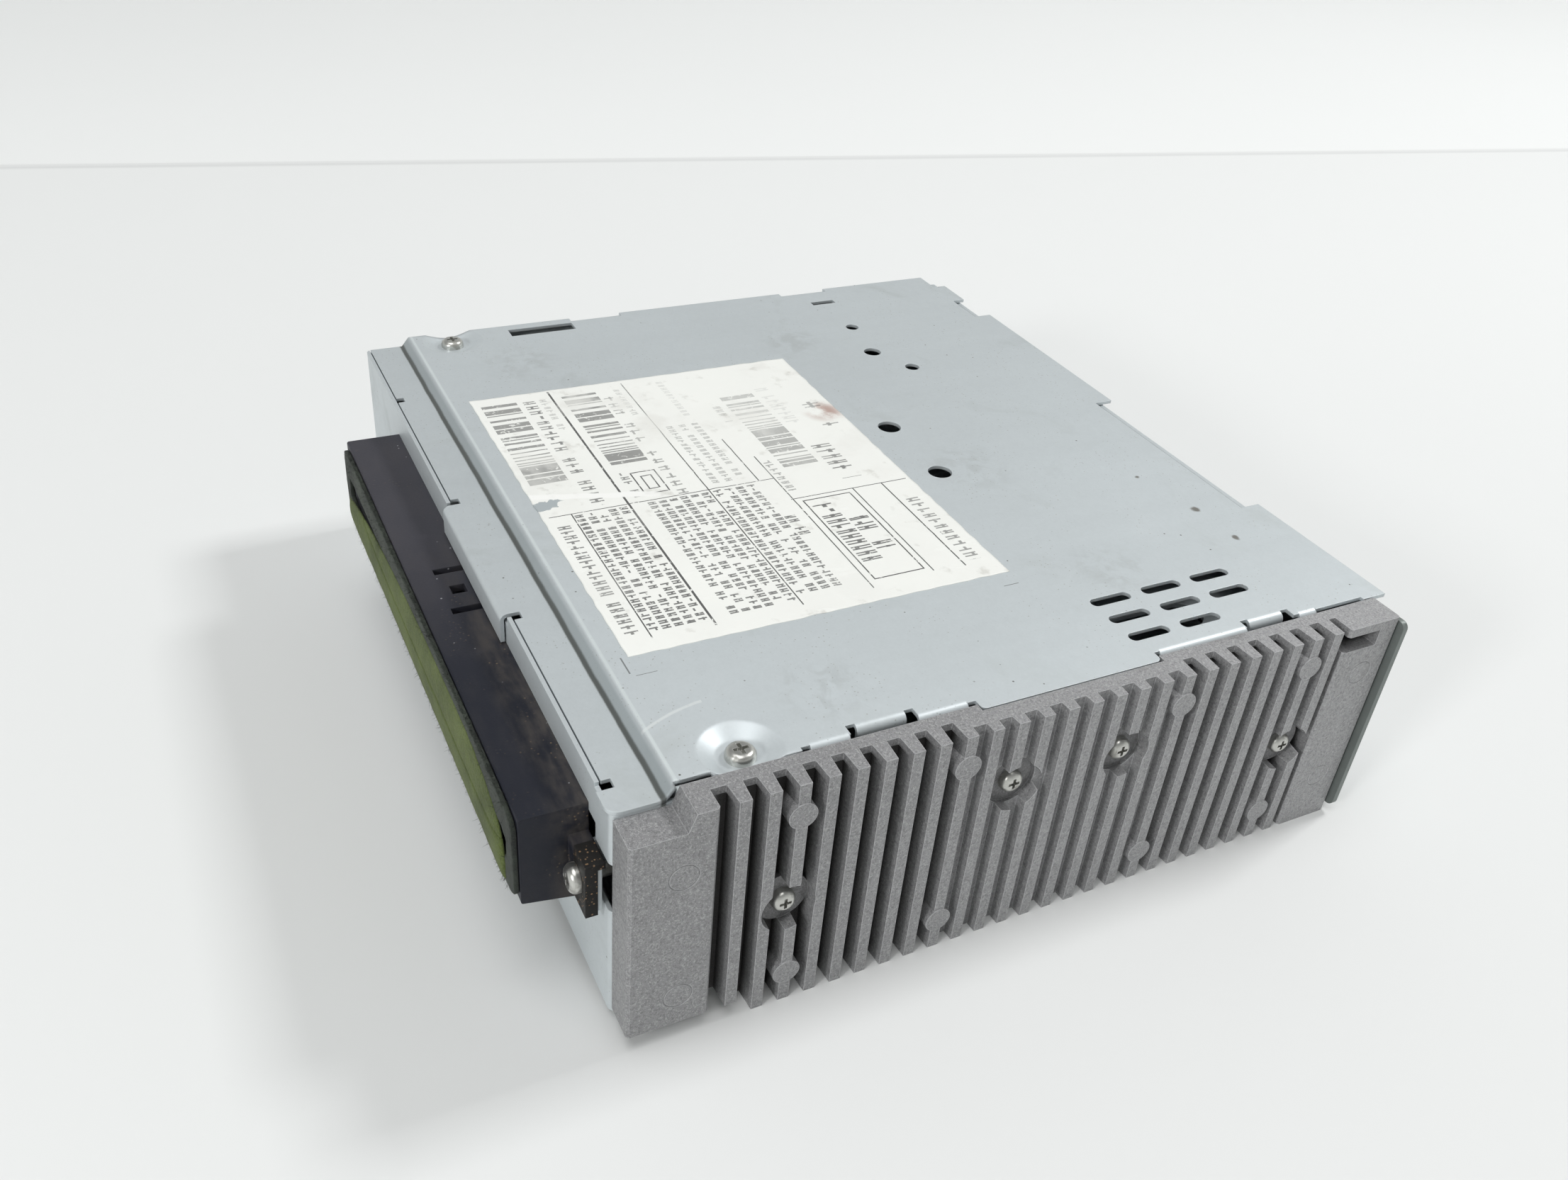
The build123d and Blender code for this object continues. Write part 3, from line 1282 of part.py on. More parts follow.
with BuildPart() as flex_cable:
    flex_high = mech_board_top + flex_thickness
    outer = (flex_high - flex_low) / 2
    centre_z = (flex_high + flex_low) / 2
    inner = outer - flex_thickness
    with BuildSketch(Plane.YZ.offset(across(flex_left))):
        with BuildLine():
            Line((behind(flex_start), flex_high), (behind(flex_turn), flex_high))
            ThreePointArc(
                (behind(flex_turn), flex_high),
                (behind(flex_turn + outer), centre_z),
                (behind(flex_turn), flex_low),
            )
            Polyline(
                (behind(flex_turn), flex_low),
                (behind(flex_end), flex_low),
                (behind(flex_end), flex_low + flex_thickness),
                (behind(flex_turn), flex_low + flex_thickness),
            )
            ThreePointArc(
                (behind(flex_turn), flex_low + flex_thickness),
                (behind(flex_turn + inner), centre_z),
                (behind(flex_turn), mech_board_top),
            )
            Polyline(
                (behind(flex_turn), mech_board_top),
                (behind(flex_start), mech_board_top),
                (behind(flex_start), flex_high),
            )
        make_face()
    extrude(amount=flex_right - flex_left)
flex_cable.part.label = "flex_cable"
export_step(flex_cable.part, "parts/flex_cable.step")

# Spindle motor under the deck, and the turntable with its shaft and centring hub
deck_under = deck_top - mech_sheet
platter_under = disc_under - platter_thickness
with BuildPart() as spindle_motor:
    turned(
        disc_x,
        disc_y,
        (
            (spindle_radius + running_gap, deck_under - motor_height - 0.6),
            (6.0, deck_under - motor_height - 0.6),
            (6.0, deck_under - motor_height),
            (motor_radius - 1, deck_under - motor_height),
            (motor_radius, deck_under - motor_height + 1),
            (motor_radius, deck_under),
            (motor_boss, deck_under),
            (motor_boss, deck_top + 0.4),
            (spindle_radius + running_gap, deck_top + 0.4),
        ),
    )
spindle_motor.part.label = "spindle_motor"
export_step(spindle_motor.part, "parts/spindle_motor.step")

with BuildPart() as turntable:
    turned(
        disc_x,
        disc_y,
        (
            (0, deck_under - motor_height + 1),
            (spindle_radius, deck_under - motor_height + 1),
            (spindle_radius, platter_under),
            (platter_radius - 0.6, platter_under),
            (platter_radius, platter_under + 0.6),
            (platter_radius, disc_under),
            (hub_radius, disc_under),
            (hub_radius, disc_under + hub_height * 0.4),
            (hub_radius - 1.4, disc_under + hub_height),
            (0, disc_under + hub_height),
        ),
    )
turntable.part.label = "turntable"
export_step(turntable.part, "parts/turntable.step")

# Clamp arm, its hinge pin, and the puck that hangs in the arm's nose
puck_under = disc_under + disc_thickness + puck_lift
arm_top = arm_under + arm_sheet
with BuildPart() as clamp_arm:
    with BuildSketch(Plane.XY.offset(arm_under)):
        with Locations((across(disc_x), behind(disc_y))):
            Circle(arm_nose)
        root_front = pivot_y - arm_root_length
        plan_rect(disc_x - arm_width / 2, disc_x + arm_width / 2, disc_y, root_front + 2)
        plan_rect(disc_x - arm_root_width / 2, disc_x + arm_root_width / 2, root_front, pivot_y + 2.5)
        fillet(vertices().group_by(Axis.Y)[-1], 2.0)
        with Locations((across(disc_x), behind(disc_y))):
            Circle(puck_neck + 0.4, mode=Mode.SUBTRACT)
        plan_slot(disc_x, arm_slot_middle, arm_slot_length, arm_slot_width)
    extrude(amount=arm_sheet)
    for side in (-1, 1):
        flange = disc_x + side * (arm_width - mech_sheet) / 2
        block(
            flange - mech_sheet / 2, flange + mech_sheet / 2, disc_y + arm_nose + 1, root_front,
            arm_under - arm_flange, arm_under,
        )
        ear = disc_x + side * (arm_root_width - arm_sheet) / 2
        x0, x1 = ear - arm_sheet / 2, ear + arm_sheet / 2
        block(x0, x1, pivot_y - 2.5, pivot_y + 2.5, pivot_z - 2, arm_under)
    crossbar(disc_x - 20, disc_x + 20, pivot_y, pivot_z, pivot_radius + running_gap, Mode.SUBTRACT)
clamp_arm.part.label = "clamp_arm"
export_step(clamp_arm.part, "parts/clamp_arm.step")

with BuildPart() as clamp_pin:
    crossbar(disc_x - arm_opening - 1.8, disc_x + arm_opening + 1.8, pivot_y, pivot_z, pivot_radius)
clamp_pin.part.label = "clamp_pin"
export_step(clamp_pin.part, "parts/clamp_pin.step")

with BuildPart() as clamp_puck:
    cap_under = arm_top + side_play
    turned(
        disc_x,
        disc_y,
        (
            (0, puck_under + hub_height),
            (hub_radius + 0.8, puck_under + hub_height),
            (hub_radius + 0.8, puck_under),
            (puck_radius, puck_under),
            (puck_radius, puck_under + 2),
            (puck_radius - 1, puck_under + puck_thickness),
            (puck_neck, puck_under + puck_thickness),
            (puck_neck, cap_under),
            (puck_cap, cap_under),
            (puck_cap, cap_under + puck_cap_thickness),
            (0, cap_under + puck_cap_thickness),
        ),
    )
clamp_puck.part.label = "clamp_puck"
export_step(clamp_puck.part, "parts/clamp_puck.step")

# Pickup carriage on its two rods, with the lens turret in the deck's window
lens_y = disc_y + pickup_inner
with BuildPart() as pickup_carriage:
    with BuildSketch(Plane.XY.offset(carriage_under)):
        plan_rect(
            disc_x - carriage_half_width, disc_x + carriage_half_width,
            lens_y - carriage_ahead + 4, lens_y + carriage_behind,
        )
        x0, x1 = disc_x - carriage_nose, disc_x + carriage_nose
        plan_rect(x0, x1, lens_y - carriage_ahead, lens_y + carriage_behind)
        fillet(vertices().group_by(Axis.Y)[-1], 3.0)
    extrude(amount=carriage_top - carriage_under)
    post(disc_x, lens_y, carriage_top, disc_under - lens_gap - 0.8, turret_radius)
    post(disc_x, lens_y, carriage_top - 1, disc_under, lens_radius, Mode.SUBTRACT)
    for x in rod_places:
        lengthwise(x, disc_y + 6, mech_rear, rod_z, rod_radius + running_gap, Mode.SUBTRACT)
    block(
        rod_places[1] - 1, disc_x + carriage_half_width + 1, disc_y + 6, lens_y - 1,
        carriage_under - 1, rod_z + rod_radius + running_gap, Mode.SUBTRACT,
    )
pickup_carriage.part.label = "pickup_carriage"
export_step(pickup_carriage.part, "parts/pickup_carriage.step")

with BuildPart() as objective_lens:
    lens_top = disc_under - lens_gap
    turned(
        disc_x,
        lens_y,
        (
            (0, carriage_top - 1),
            (lens_radius, carriage_top - 1),
            (lens_radius, lens_top - 0.5),
            (lens_radius * 0.8, lens_top - 0.15),
            (lens_radius * 0.4, lens_top),
            (0, lens_top),
        ),
    )
objective_lens.part.label = "objective_lens"
export_step(objective_lens.part, "parts/objective_lens.step")

with BuildPart() as feed_nut:
    side = disc_x + carriage_half_width
    block(side, screw_x + 3.2, lens_y, lens_y + 9, rod_z - 3, rod_z + 3)
    lengthwise(screw_x, lens_y - 1, lens_y + 10, rod_z, feed_radius + side_play, Mode.SUBTRACT)
feed_nut.part.label = "feed_nut"
export_step(feed_nut.part, "parts/feed_nut.step")

with BuildPart() as guide_rods:
    for x in rod_places:
        lengthwise(x, rod_front, screw_rear, rod_z, rod_radius)
guide_rods.part.label = "guide_rods"
export_step(guide_rods.part, "parts/guide_rods.step")

# Sled motor and the feed screw on its shaft
front = sled_motor_rear - sled_motor_length
with BuildPart() as sled_motor:
    with BuildSketch(Plane.XZ.offset(-behind(front))):
        with Locations((across(screw_x), deck_under - sled_motor_height / 2)):
            RectangleRounded(sled_motor_width, sled_motor_height, 3.5)
    extrude(amount=-sled_motor_length)
    bore = thin_shaft_radius + running_gap
    lengthwise(screw_x, front + 2, sled_motor_rear + 1, rod_z, bore, Mode.SUBTRACT)
sled_motor.part.label = "sled_motor"
export_step(sled_motor.part, "parts/sled_motor.step")

with BuildPart() as lead_screw:
    lengthwise(screw_x, sled_motor_rear + 0.5, screw_rear, rod_z, feed_radius)
    lengthwise(screw_x, front + 2.5, sled_motor_rear + 0.5, rod_z, thin_shaft_radius)
lead_screw.part.label = "lead_screw"
export_step(lead_screw.part, "parts/lead_screw.step")

# Roller arm: two ears joined by a web, on pins in the side walls
with BuildPart() as roller_arm:
    for ear in (ear_left, ear_right - ear_sheet):
        with BuildSketch(Plane.YZ.offset(across(ear))):
            with Locations((behind(roller_y), roller_z)):
                Circle(3.2)
            with Locations((behind(swing_y), swing_z)):
                Circle(3.0)
            make_hull()
        extrude(amount=ear_sheet)
    block(ear_left, ear_right, swing_y - 4, swing_y + 2, swing_z - 1.8, swing_z - 0.8)
    crossbar(mech_left - side_play, ear_left + ear_sheet, swing_y, swing_z, shaft_radius)
    crossbar(ear_right - ear_sheet, mech_right + side_play, swing_y, swing_z, shaft_radius)
    crossbar(ear_left - 1, ear_right + 1, roller_y, roller_z, shaft_radius + running_gap, Mode.SUBTRACT)
roller_arm.part.label = "roller_arm"
export_step(roller_arm.part, "parts/roller_arm.step")

with BuildPart() as roller_shaft:
    crossbar(gear_left - 0.5, ear_right + 1.5, roller_y, roller_z, shaft_radius)
roller_shaft.part.label = "roller_shaft"
export_step(roller_shaft.part, "parts/roller_shaft.step")

# Rubber roller: two cones that meet at a thin waist, so that a disc touches it only at its rim
with BuildPart() as loading_roller:
    roller_plane = Plane(origin=(0, behind(roller_y), roller_z), x_dir=(1, 0, 0), z_dir=(0, -1, 0))
    roller_axis = Axis(roller_plane.origin, (1, 0, 0))
    for end in roller_span:
        waist = disc_x - 1 if end < disc_x else disc_x + 1
        cone = [
            (across(end), shaft_radius),
            (across(end), roller_end_radius),
            (across(waist), roller_waist_radius),
            (across(waist), shaft_radius),
        ]
        revolve(outline(roller_plane, cone), axis=roller_axis)
loading_roller.part.label = "loading_roller"
export_step(loading_roller.part, "parts/loading_roller.step")


def involute(angle):
    """Gives the involute function of a pressure angle."""
    return tan(angle) - angle


def gear_outline(teeth, phase):
    """Lists a spur gear's outline: for each tooth its root, base, pitch and tip points, both flanks."""
    pitch = gear_module * teeth / 2
    base = pitch * cos(radians(pressure_angle))
    root, tip = pitch - 1.25 * gear_module, pitch + gear_module
    half_pitch = pi / (2 * teeth) - backlash / (4 * pitch) + involute(radians(pressure_angle))
    flank = []
    for radius in (max(base, root), pitch, tip):
        flank.append((radius, half_pitch - involute(acos(min(1, base / radius)))))
    flank.insert(0, (root, flank[0][1]))
    points = []
    for index in range(teeth):
        middle = phase + 2 * pi * index / teeth
        for radius, half_angle in flank:
            points.append((radius * cos(middle - half_angle), radius * sin(middle - half_angle)))
        for radius, half_angle in reversed(flank):
            points.append((radius * cos(middle + half_angle), radius * sin(middle + half_angle)))
    return points


def spur_gear(y, z, teeth, phase, bore):
    """Adds a spur gear in the gear plane, with one tooth centred on the phase angle in the YZ plane."""
    points = [(behind(y) + dy, z + dz) for dy, dz in gear_outline(teeth, phase)]
    extrude(outline(Plane.YZ.offset(across(gear_left)), points), amount=gear_width)
    crossbar(gear_left - 1, gear_left + gear_width + 1, y, z, bore, Mode.SUBTRACT)


# Gear train: roller gear, idler and worm wheel, with a tooth of each in a gap of the next
idler_phase = idler_angle + pi + pi / small_teeth
wheel_phase = wheel_angle + pi - (idler_phase - wheel_angle) * small_teeth / wheel_teeth + pi / wheel_teeth
with BuildPart() as roller_gear:
    spur_gear(roller_y, roller_z, small_teeth, idler_angle, shaft_radius)
roller_gear.part.label = "roller_gear"
export_step(roller_gear.part, "parts/roller_gear.step")

with BuildPart() as idler_gear:
    spur_gear(idler_y, idler_z, small_teeth, idler_phase, post_radius + running_gap)
idler_gear.part.label = "idler_gear"
export_step(idler_gear.part, "parts/idler_gear.step")

with BuildPart() as worm_wheel:
    spur_gear(wheel_y, wheel_z, wheel_teeth, wheel_phase, post_radius + running_gap)
    for index in range(wheel_hole_count):
        angle = 2 * pi * index / wheel_hole_count
        hole_y = wheel_y + wheel_hole_place * cos(angle)
        hole_z = wheel_z + wheel_hole_place * sin(angle)
        x0, x1 = gear_left - 1, gear_left + gear_width + 1
        crossbar(x0, x1, hole_y, hole_z, wheel_hole_radius, Mode.SUBTRACT)
worm_wheel.part.label = "worm_wheel"
export_step(worm_wheel.part, "parts/worm_wheel.step")

with BuildPart() as gear_posts:
    for y, z in ((idler_y, idler_z), (wheel_y, wheel_z)):
        crossbar(gear_left - 0.9, mech_left, y, z, post_radius)
        crossbar(gear_left - 1.7, gear_left - 0.4, y, z, post_radius + 0.8)
        crossbar(gear_left + gear_width + 0.4, mech_left, y, z, post_radius + 1.0)
gear_posts.part.label = "gear_posts"
export_step(gear_posts.part, "parts/gear_posts.step")

# Loading motor and the worm on its shaft; the thread's upper side stands in a gap of the wheel
thread_pitch = pi * gear_module
worm_front = wheel_y - worm_length / 2
tooth_step = 2 * pi / wheel_teeth
gap_angle = (wheel_phase + tooth_step / 2 + pi / 2) % tooth_step
thread_front = wheel_y + worm_wheel_radius * gap_angle - thread_pitch * thread_turns / 2
with BuildPart() as worm:
    lengthwise(gear_middle, worm_front, worm_front + worm_length, worm_z, worm_pitch_radius - 0.75)
    lengthwise(gear_middle, worm_front, load_motor_front + 18, worm_z, thin_shaft_radius)
    thread_centre = Vector(across(gear_middle), behind(thread_front), worm_z)
    with BuildLine() as thread_path:
        Helix(
            thread_pitch, thread_pitch * thread_turns, worm_pitch_radius,
            center=thread_centre, direction=(0, 1, 0),
        )
    thread_line = thread_path.line
    thread_start = thread_line @ 0
    with BuildSketch(
        Plane(origin=thread_start, x_dir=thread_start - thread_centre, z_dir=thread_line % 0)
    ):
        with BuildLine():
            Polyline(
                (-thread_root, -thread_half_root),
                (thread_depth, -thread_half_crest),
                (thread_depth, thread_half_crest),
                (-thread_root, thread_half_root),
                close=True,
            )
        make_face()
    sweep(path=thread_line, is_frenet=True)
worm.part.label = "worm"
export_step(worm.part, "parts/worm.step")

with BuildPart() as loading_motor:
    with BuildSketch(Plane.XZ.offset(-behind(load_motor_front))):
        with Locations((across(gear_middle), worm_z)):
            RectangleRounded(load_motor_width, load_motor_height, 4.5)
    extrude(amount=-load_motor_length)
    bore = thin_shaft_radius + running_gap
    lengthwise(gear_middle, load_motor_front - 1, load_motor_front + 19, worm_z, bore, Mode.SUBTRACT)
loading_motor.part.label = "loading_motor"
export_step(loading_motor.part, "parts/loading_motor.step")

# Disc sensing levers: plates over the top plate with a pin that reaches into the disc's path
lever_under = plate_top + lever_gap


def disc_lever(side, place):
    """Adds a lever whose pin lies at its length from the pivot, towards the middle of the slot."""
    x, y = place
    angle = radians(lever_angle) if side == 1 else pi - radians(lever_angle)
    pin_x, pin_y = x + lever_length * cos(angle), y + lever_length * sin(angle)
    with BuildSketch(Plane.XY.offset(lever_under)) as plan:
        with Locations((across(x), behind(y))):
            Circle(3.4)
        with Locations((across(pin_x), behind(pin_y))):
            Circle(2.4)
        make_hull()
    extrude(plan.sketch, amount=lever_sheet)
    post(x, y, wall_top - 0.5, lever_under + lever_sheet + 0.8, shaft_radius)
    post(x, y, wall_top - 1.3, wall_top - side_play, shaft_radius + 0.9)
    post(pin_x, pin_y, disc_under - 0.6, lever_under + lever_sheet + 0.5, lever_pin_radius)


with BuildPart() as left_disc_lever:
    disc_lever(1, lever_places[0])
left_disc_lever.part.label = "left_disc_lever"
export_step(left_disc_lever.part, "parts/left_disc_lever.step")

with BuildPart() as right_disc_lever:
    disc_lever(-1, lever_places[1])
right_disc_lever.part.label = "right_disc_lever"
export_step(right_disc_lever.part, "parts/right_disc_lever.step")
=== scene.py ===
"""Looks of a slot-loading car CD player: finishes, label, felt and foam seal, floor, light and camera.

The frame has +X across the front towards the heat sink, +Y from the disc slot to the rear and +Z up.
"""

import json

import bpy
import numpy as np
from mathutils import Matrix, Vector


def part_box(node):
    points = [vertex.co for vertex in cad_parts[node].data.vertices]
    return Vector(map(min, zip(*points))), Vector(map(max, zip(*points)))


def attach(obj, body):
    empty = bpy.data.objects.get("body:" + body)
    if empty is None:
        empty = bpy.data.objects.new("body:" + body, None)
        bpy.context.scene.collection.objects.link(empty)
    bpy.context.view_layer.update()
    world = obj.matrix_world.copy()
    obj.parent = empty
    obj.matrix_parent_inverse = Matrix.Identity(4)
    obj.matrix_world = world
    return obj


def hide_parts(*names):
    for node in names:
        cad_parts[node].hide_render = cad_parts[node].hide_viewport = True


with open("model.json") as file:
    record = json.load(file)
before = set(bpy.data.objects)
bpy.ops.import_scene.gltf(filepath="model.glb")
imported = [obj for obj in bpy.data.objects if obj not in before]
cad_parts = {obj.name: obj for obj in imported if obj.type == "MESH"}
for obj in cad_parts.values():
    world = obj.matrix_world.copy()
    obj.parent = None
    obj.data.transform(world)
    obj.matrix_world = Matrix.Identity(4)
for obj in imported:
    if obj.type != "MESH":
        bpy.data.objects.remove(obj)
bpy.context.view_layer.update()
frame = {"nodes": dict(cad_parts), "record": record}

mm = 0.001

# Corners of the pieces that finishes and soft pieces line up with
lid_low, lid_high = (np.array(corner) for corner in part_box("top_cover"))
label_low, label_high = (np.array(corner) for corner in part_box("rating_label"))
bezel_low, bezel_high = (np.array(corner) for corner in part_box("slot_bezel"))
felt_low, felt_high = (np.array(corner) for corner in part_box("felt_pad"))
sink_low, sink_high = (np.array(corner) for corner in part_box("heat_sink"))
case_left, case_front = (float(part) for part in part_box("chassis_frame")[0][:2])

# Marks on the lid, in millimetres from the case's left side and front: stains and smears with their sizes,
# etched lines beside the label's corners, and a white scratch near the right-hand screw
lid_stains = ((136.7, 151.4, 2.1), (149.3, 151.8, 1.8), (120.5, 148.0, 1.4))
lid_smears = ((22, 33, 13), (164, 44, 12), (104, 112, 14), (30, 104, 12), (150, 118, 12))
etched_marks = (
    (143.3, 148.1, 14.05, 14.35),
    (148.9, 149.05, 15.0, 19.0),
    (147.6, 147.8, 93.0, 96.5),
)
scratch_start, scratch_length = (163.6, 10.4), 12.5
scratch_lean, scratch_curve = 0.56, 0.0183 / mm

# The lid's ramp, behind the case's front, and the sheet that is pressed down round its two screws
ramp_front, ramp_rear = 8.9 * mm, 10.7 * mm
screw_head = 5.4 * mm
pressed_reach = 10 * mm

# The bezel's right-hand lug
lug_width = 5.6 * mm

# The slot in the felt, a little inside the opening of its CAD solid
slot_middle_z = 33.75 * mm
slot_half_width = 62.6 * mm
slot_half_height = 2.9 * mm

# The foam lips: how far they stay from the felt's ends, where their arch is highest, its height above the
# ground, how far it drops to the left and to the right, how far they bulge, and the slit between them
foam_inset, foam_inset_right = 1.6 * mm, 4.6 * mm
foam_peak = 104 * mm
foam_crest, foam_rise, foam_fall = 41.0 * mm, 11.0 * mm, 5.5 * mm
foam_bulge = 0.9 * mm
slit_gap = 0.04 * mm

# The line where the wall begins: normal to it, and its distance from the origin in metres
wall_normal = (0.9847, -0.1744)
wall_distance = 0.3843

# The floor sheet: half its width, how far from the object it stays flat, how it rises beyond, its count of
# points along a side, and the heading in which the photo looks
floor_half, floor_flat, floor_sweep, floor_points = 2.8, 1.2, 0.6, 85
view_heading = (-0.87, 0.48)


def shown(red, green, blue):
    """Gives the linear colour that a screen shows as these values from 0 to 1."""
    values = np.array([red, green, blue])
    linear = np.where(values > 0.04045, ((values + 0.055) / 1.055) ** 2.4, values / 12.92)
    return (*linear.tolist(), 1.0)


class Value:
    """A number or vector that runs over a surface; its arithmetic adds Math nodes."""

    def __init__(self, finish, socket):
        self.finish, self.socket = finish, socket

    def work(self, operation, first, second=0.0, third=0.0):
        """Adds one Math node."""
        return self.finish.add("ShaderNodeMath", {"operation": operation}, {0: first, 1: second, 2: third})

    def __add__(self, other):
        return self.work("ADD", self, other)

    def __sub__(self, other):
        return self.work("SUBTRACT", self, other)

    def __rsub__(self, other):
        return self.work("SUBTRACT", other, self)

    def __mul__(self, other):
        return self.work("MULTIPLY", self, other)

    def __truediv__(self, other):
        return self.work("DIVIDE", self, other)

    def __gt__(self, other):
        return self.work("GREATER_THAN", self, other)

    def __lt__(self, other):
        return self.work("LESS_THAN", self, other)

    def __mod__(self, other):
        return self.work("FLOORED_MODULO", self, other)

    def __abs__(self):
        return self.work("ABSOLUTE", self)

    def floor(self):
        """Rounds down."""
        return self.work("FLOOR", self)

    def larger(self, other):
        """Keeps the larger of two."""
        return self.work("MAXIMUM", self, other)

    def ramp(self, low, high):
        """Runs smoothly from 0 at low to 1 at high."""
        sockets = {"Value": self, "From Min": low, "From Max": high}
        return self.finish.add("ShaderNodeMapRange", {"interpolation_type": "SMOOTHSTEP"}, sockets)

    __radd__ = __add__
    __rmul__ = __mul__


class Finish:
    """A material being written: its nodes, its shader and the object's own coordinates."""

    def __init__(self, name):
        self.material = bpy.data.materials.new(name)
        self.material.use_nodes = True
        self.tree = self.material.node_tree
        self.tree.nodes.clear()
        output = self.tree.nodes.new("ShaderNodeOutputMaterial")
        self.shader = self.tree.nodes.new("ShaderNodeBsdfPrincipled")
        self.tree.links.new(self.shader.outputs[0], output.inputs[0])
        self.place = self.add("ShaderNodeTexCoord", output="Object")
        self.x, self.y, self.z = self.split(self.place)

    def connect(self, socket, value):
        """Links a value to a socket, or sets the socket to a constant."""
        if isinstance(value, Value):
            self.tree.links.new(value.socket, socket)
        else:
            socket.default_value = value

    def add(self, kind, settings=None, sockets=None, output=0):
        """Adds a node: its settings first, then the values or links of its sockets."""
        node = self.tree.nodes.new(kind)
        for name, setting in (settings or {}).items():
            setattr(node, name, setting)
        for name, value in (sockets or {}).items():
            self.connect(node.inputs[name], value)
        return Value(self, node.outputs[output])

    def split(self, vector):
        """Gives a vector's three parts."""
        parts = self.tree.nodes.new("ShaderNodeSeparateXYZ")
        self.connect(parts.inputs[0], vector)
        return [Value(self, parts.outputs[index]) for index in range(3)]

    def scaled(self, x, y, z):
        """Gives the object's coordinates, stretched along the axes."""
        return self.add("ShaderNodeMapping", {}, {"Vector": self.place, "Scale": (x, y, z)})

    def noise(self, size, detail=3.0, vector=None, roughness=0.55, distortion=0.0):
        """Gives noise whose lumps measure about size, in metres."""
        sockets = {
            "Vector": vector or self.place,
            "Scale": 0.6 / size,
            "Detail": detail,
            "Roughness": roughness,
            "Distortion": distortion,
        }
        return self.add("ShaderNodeTexNoise", {}, sockets)

    def cells(self, size):
        """Gives the distance to the nearest cell's middle, where cells measure about size, in metres."""
        return self.add("ShaderNodeTexVoronoi", {}, {"Vector": self.place, "Scale": 1 / size}, "Distance")

    def away(self, x, y, z):
        """Gives the distance from a spot."""
        spot = (float(x), float(y), float(z))
        return self.add("ShaderNodeVectorMath", {"operation": "DISTANCE"}, {0: self.place, 1: spot}, "Value")

    def mix(self, factor, first, second):
        """Mixes two colours."""
        settings = {"data_type": "RGBA", "clamp_factor": True}
        return self.add("ShaderNodeMix", settings, {0: factor, 6: first, 7: second}, output=2)

    def tint(self, colour, factor):
        """Multiplies a colour by a brightness that varies."""
        grey = self.add("ShaderNodeCombineColor", {}, {0: factor, 1: factor, 2: factor})
        settings = {"data_type": "RGBA", "blend_type": "MULTIPLY"}
        return self.add("ShaderNodeMix", settings, {0: 1.0, 6: colour, 7: grey}, output=2)

    def rounded(self, radius):
        """Gives the normal of edges that are worn round."""
        return self.add("ShaderNodeBevel", {"samples": 6}, {"Radius": radius})

    def edges(self, radius):
        """Masks a band along sharp edges, where the rounded normal turns from the flat one."""
        flat = self.add("ShaderNodeNewGeometry", output="True Normal")
        sockets = {0: self.rounded(radius), 1: flat}
        alike = self.add("ShaderNodeVectorMath", {"operation": "DOT_PRODUCT"}, sockets, "Value")
        return (1 - alike).ramp(0.0, 0.25)

    def within(self, low_x, high_x, low_y, high_y):
        """Masks a rectangle seen from above."""
        return (self.x > low_x) * (self.x < high_x) * (self.y > low_y) * (self.y < high_y)

    def bump(self, height, distance, normal=None):
        """Raises the surface by a height from 0 to 1 times a distance."""
        sockets = {"Height": height, "Distance": distance, "Strength": 1.0}
        if normal is not None:
            sockets["Normal"] = normal
        return self.add("ShaderNodeBump", {}, sockets)

    def finished(self, colour, roughness, metallic=0.0, normal=None, **constants):
        """Sets the shader's sockets and gives the material; the constants name sockets with underscores."""
        self.connect(self.shader.inputs["Base Color"], colour)
        self.connect(self.shader.inputs["Roughness"], roughness)
        self.connect(self.shader.inputs["Metallic"], metallic)
        if normal is not None:
            self.connect(self.shader.inputs["Normal"], normal)
        for name, value in constants.items():
            self.shader.inputs[name.replace("_", " ").title().replace("Ior", "IOR")].default_value = value
        return self.material


def lid_spots(f, places, rim, wander):
    """Adds up round spots on the lid: each fades from its middle part to its size, with a wandering rim."""
    total = 0.0
    for x, y, size in places:
        distance = f.away(case_left + x * mm, case_front + y * mm, label_low[2])
        total = (distance + wander).ramp(size * mm, rim * size * mm) + total
    return total


def etched_lines(f):
    """Masks the thin boxes etched beside the label's corners."""
    total = 0.0
    for x0, x1, y0, y1 in etched_marks:
        corners = (case_left + x0 * mm, case_left + x1 * mm, case_front + y0 * mm, case_front + y1 * mm)
        total = f.within(*corners) * (f.z > lid_low[2]) + total
    return total


def white_scratch(f):
    """Masks a thin curved line: across + lean * run - curve * run * run, from where the scratch starts."""
    across, run = f.x - case_left - scratch_start[0] * mm, f.y - case_front - scratch_start[1] * mm
    arc = across + run * scratch_lean - run * run * scratch_curve
    line = abs(arc + 0.25 * mm * f.noise(3 * mm, 2)).ramp(0.5 * mm, 0.15 * mm)
    return line * (run > 0.0) * (run < scratch_length * mm)


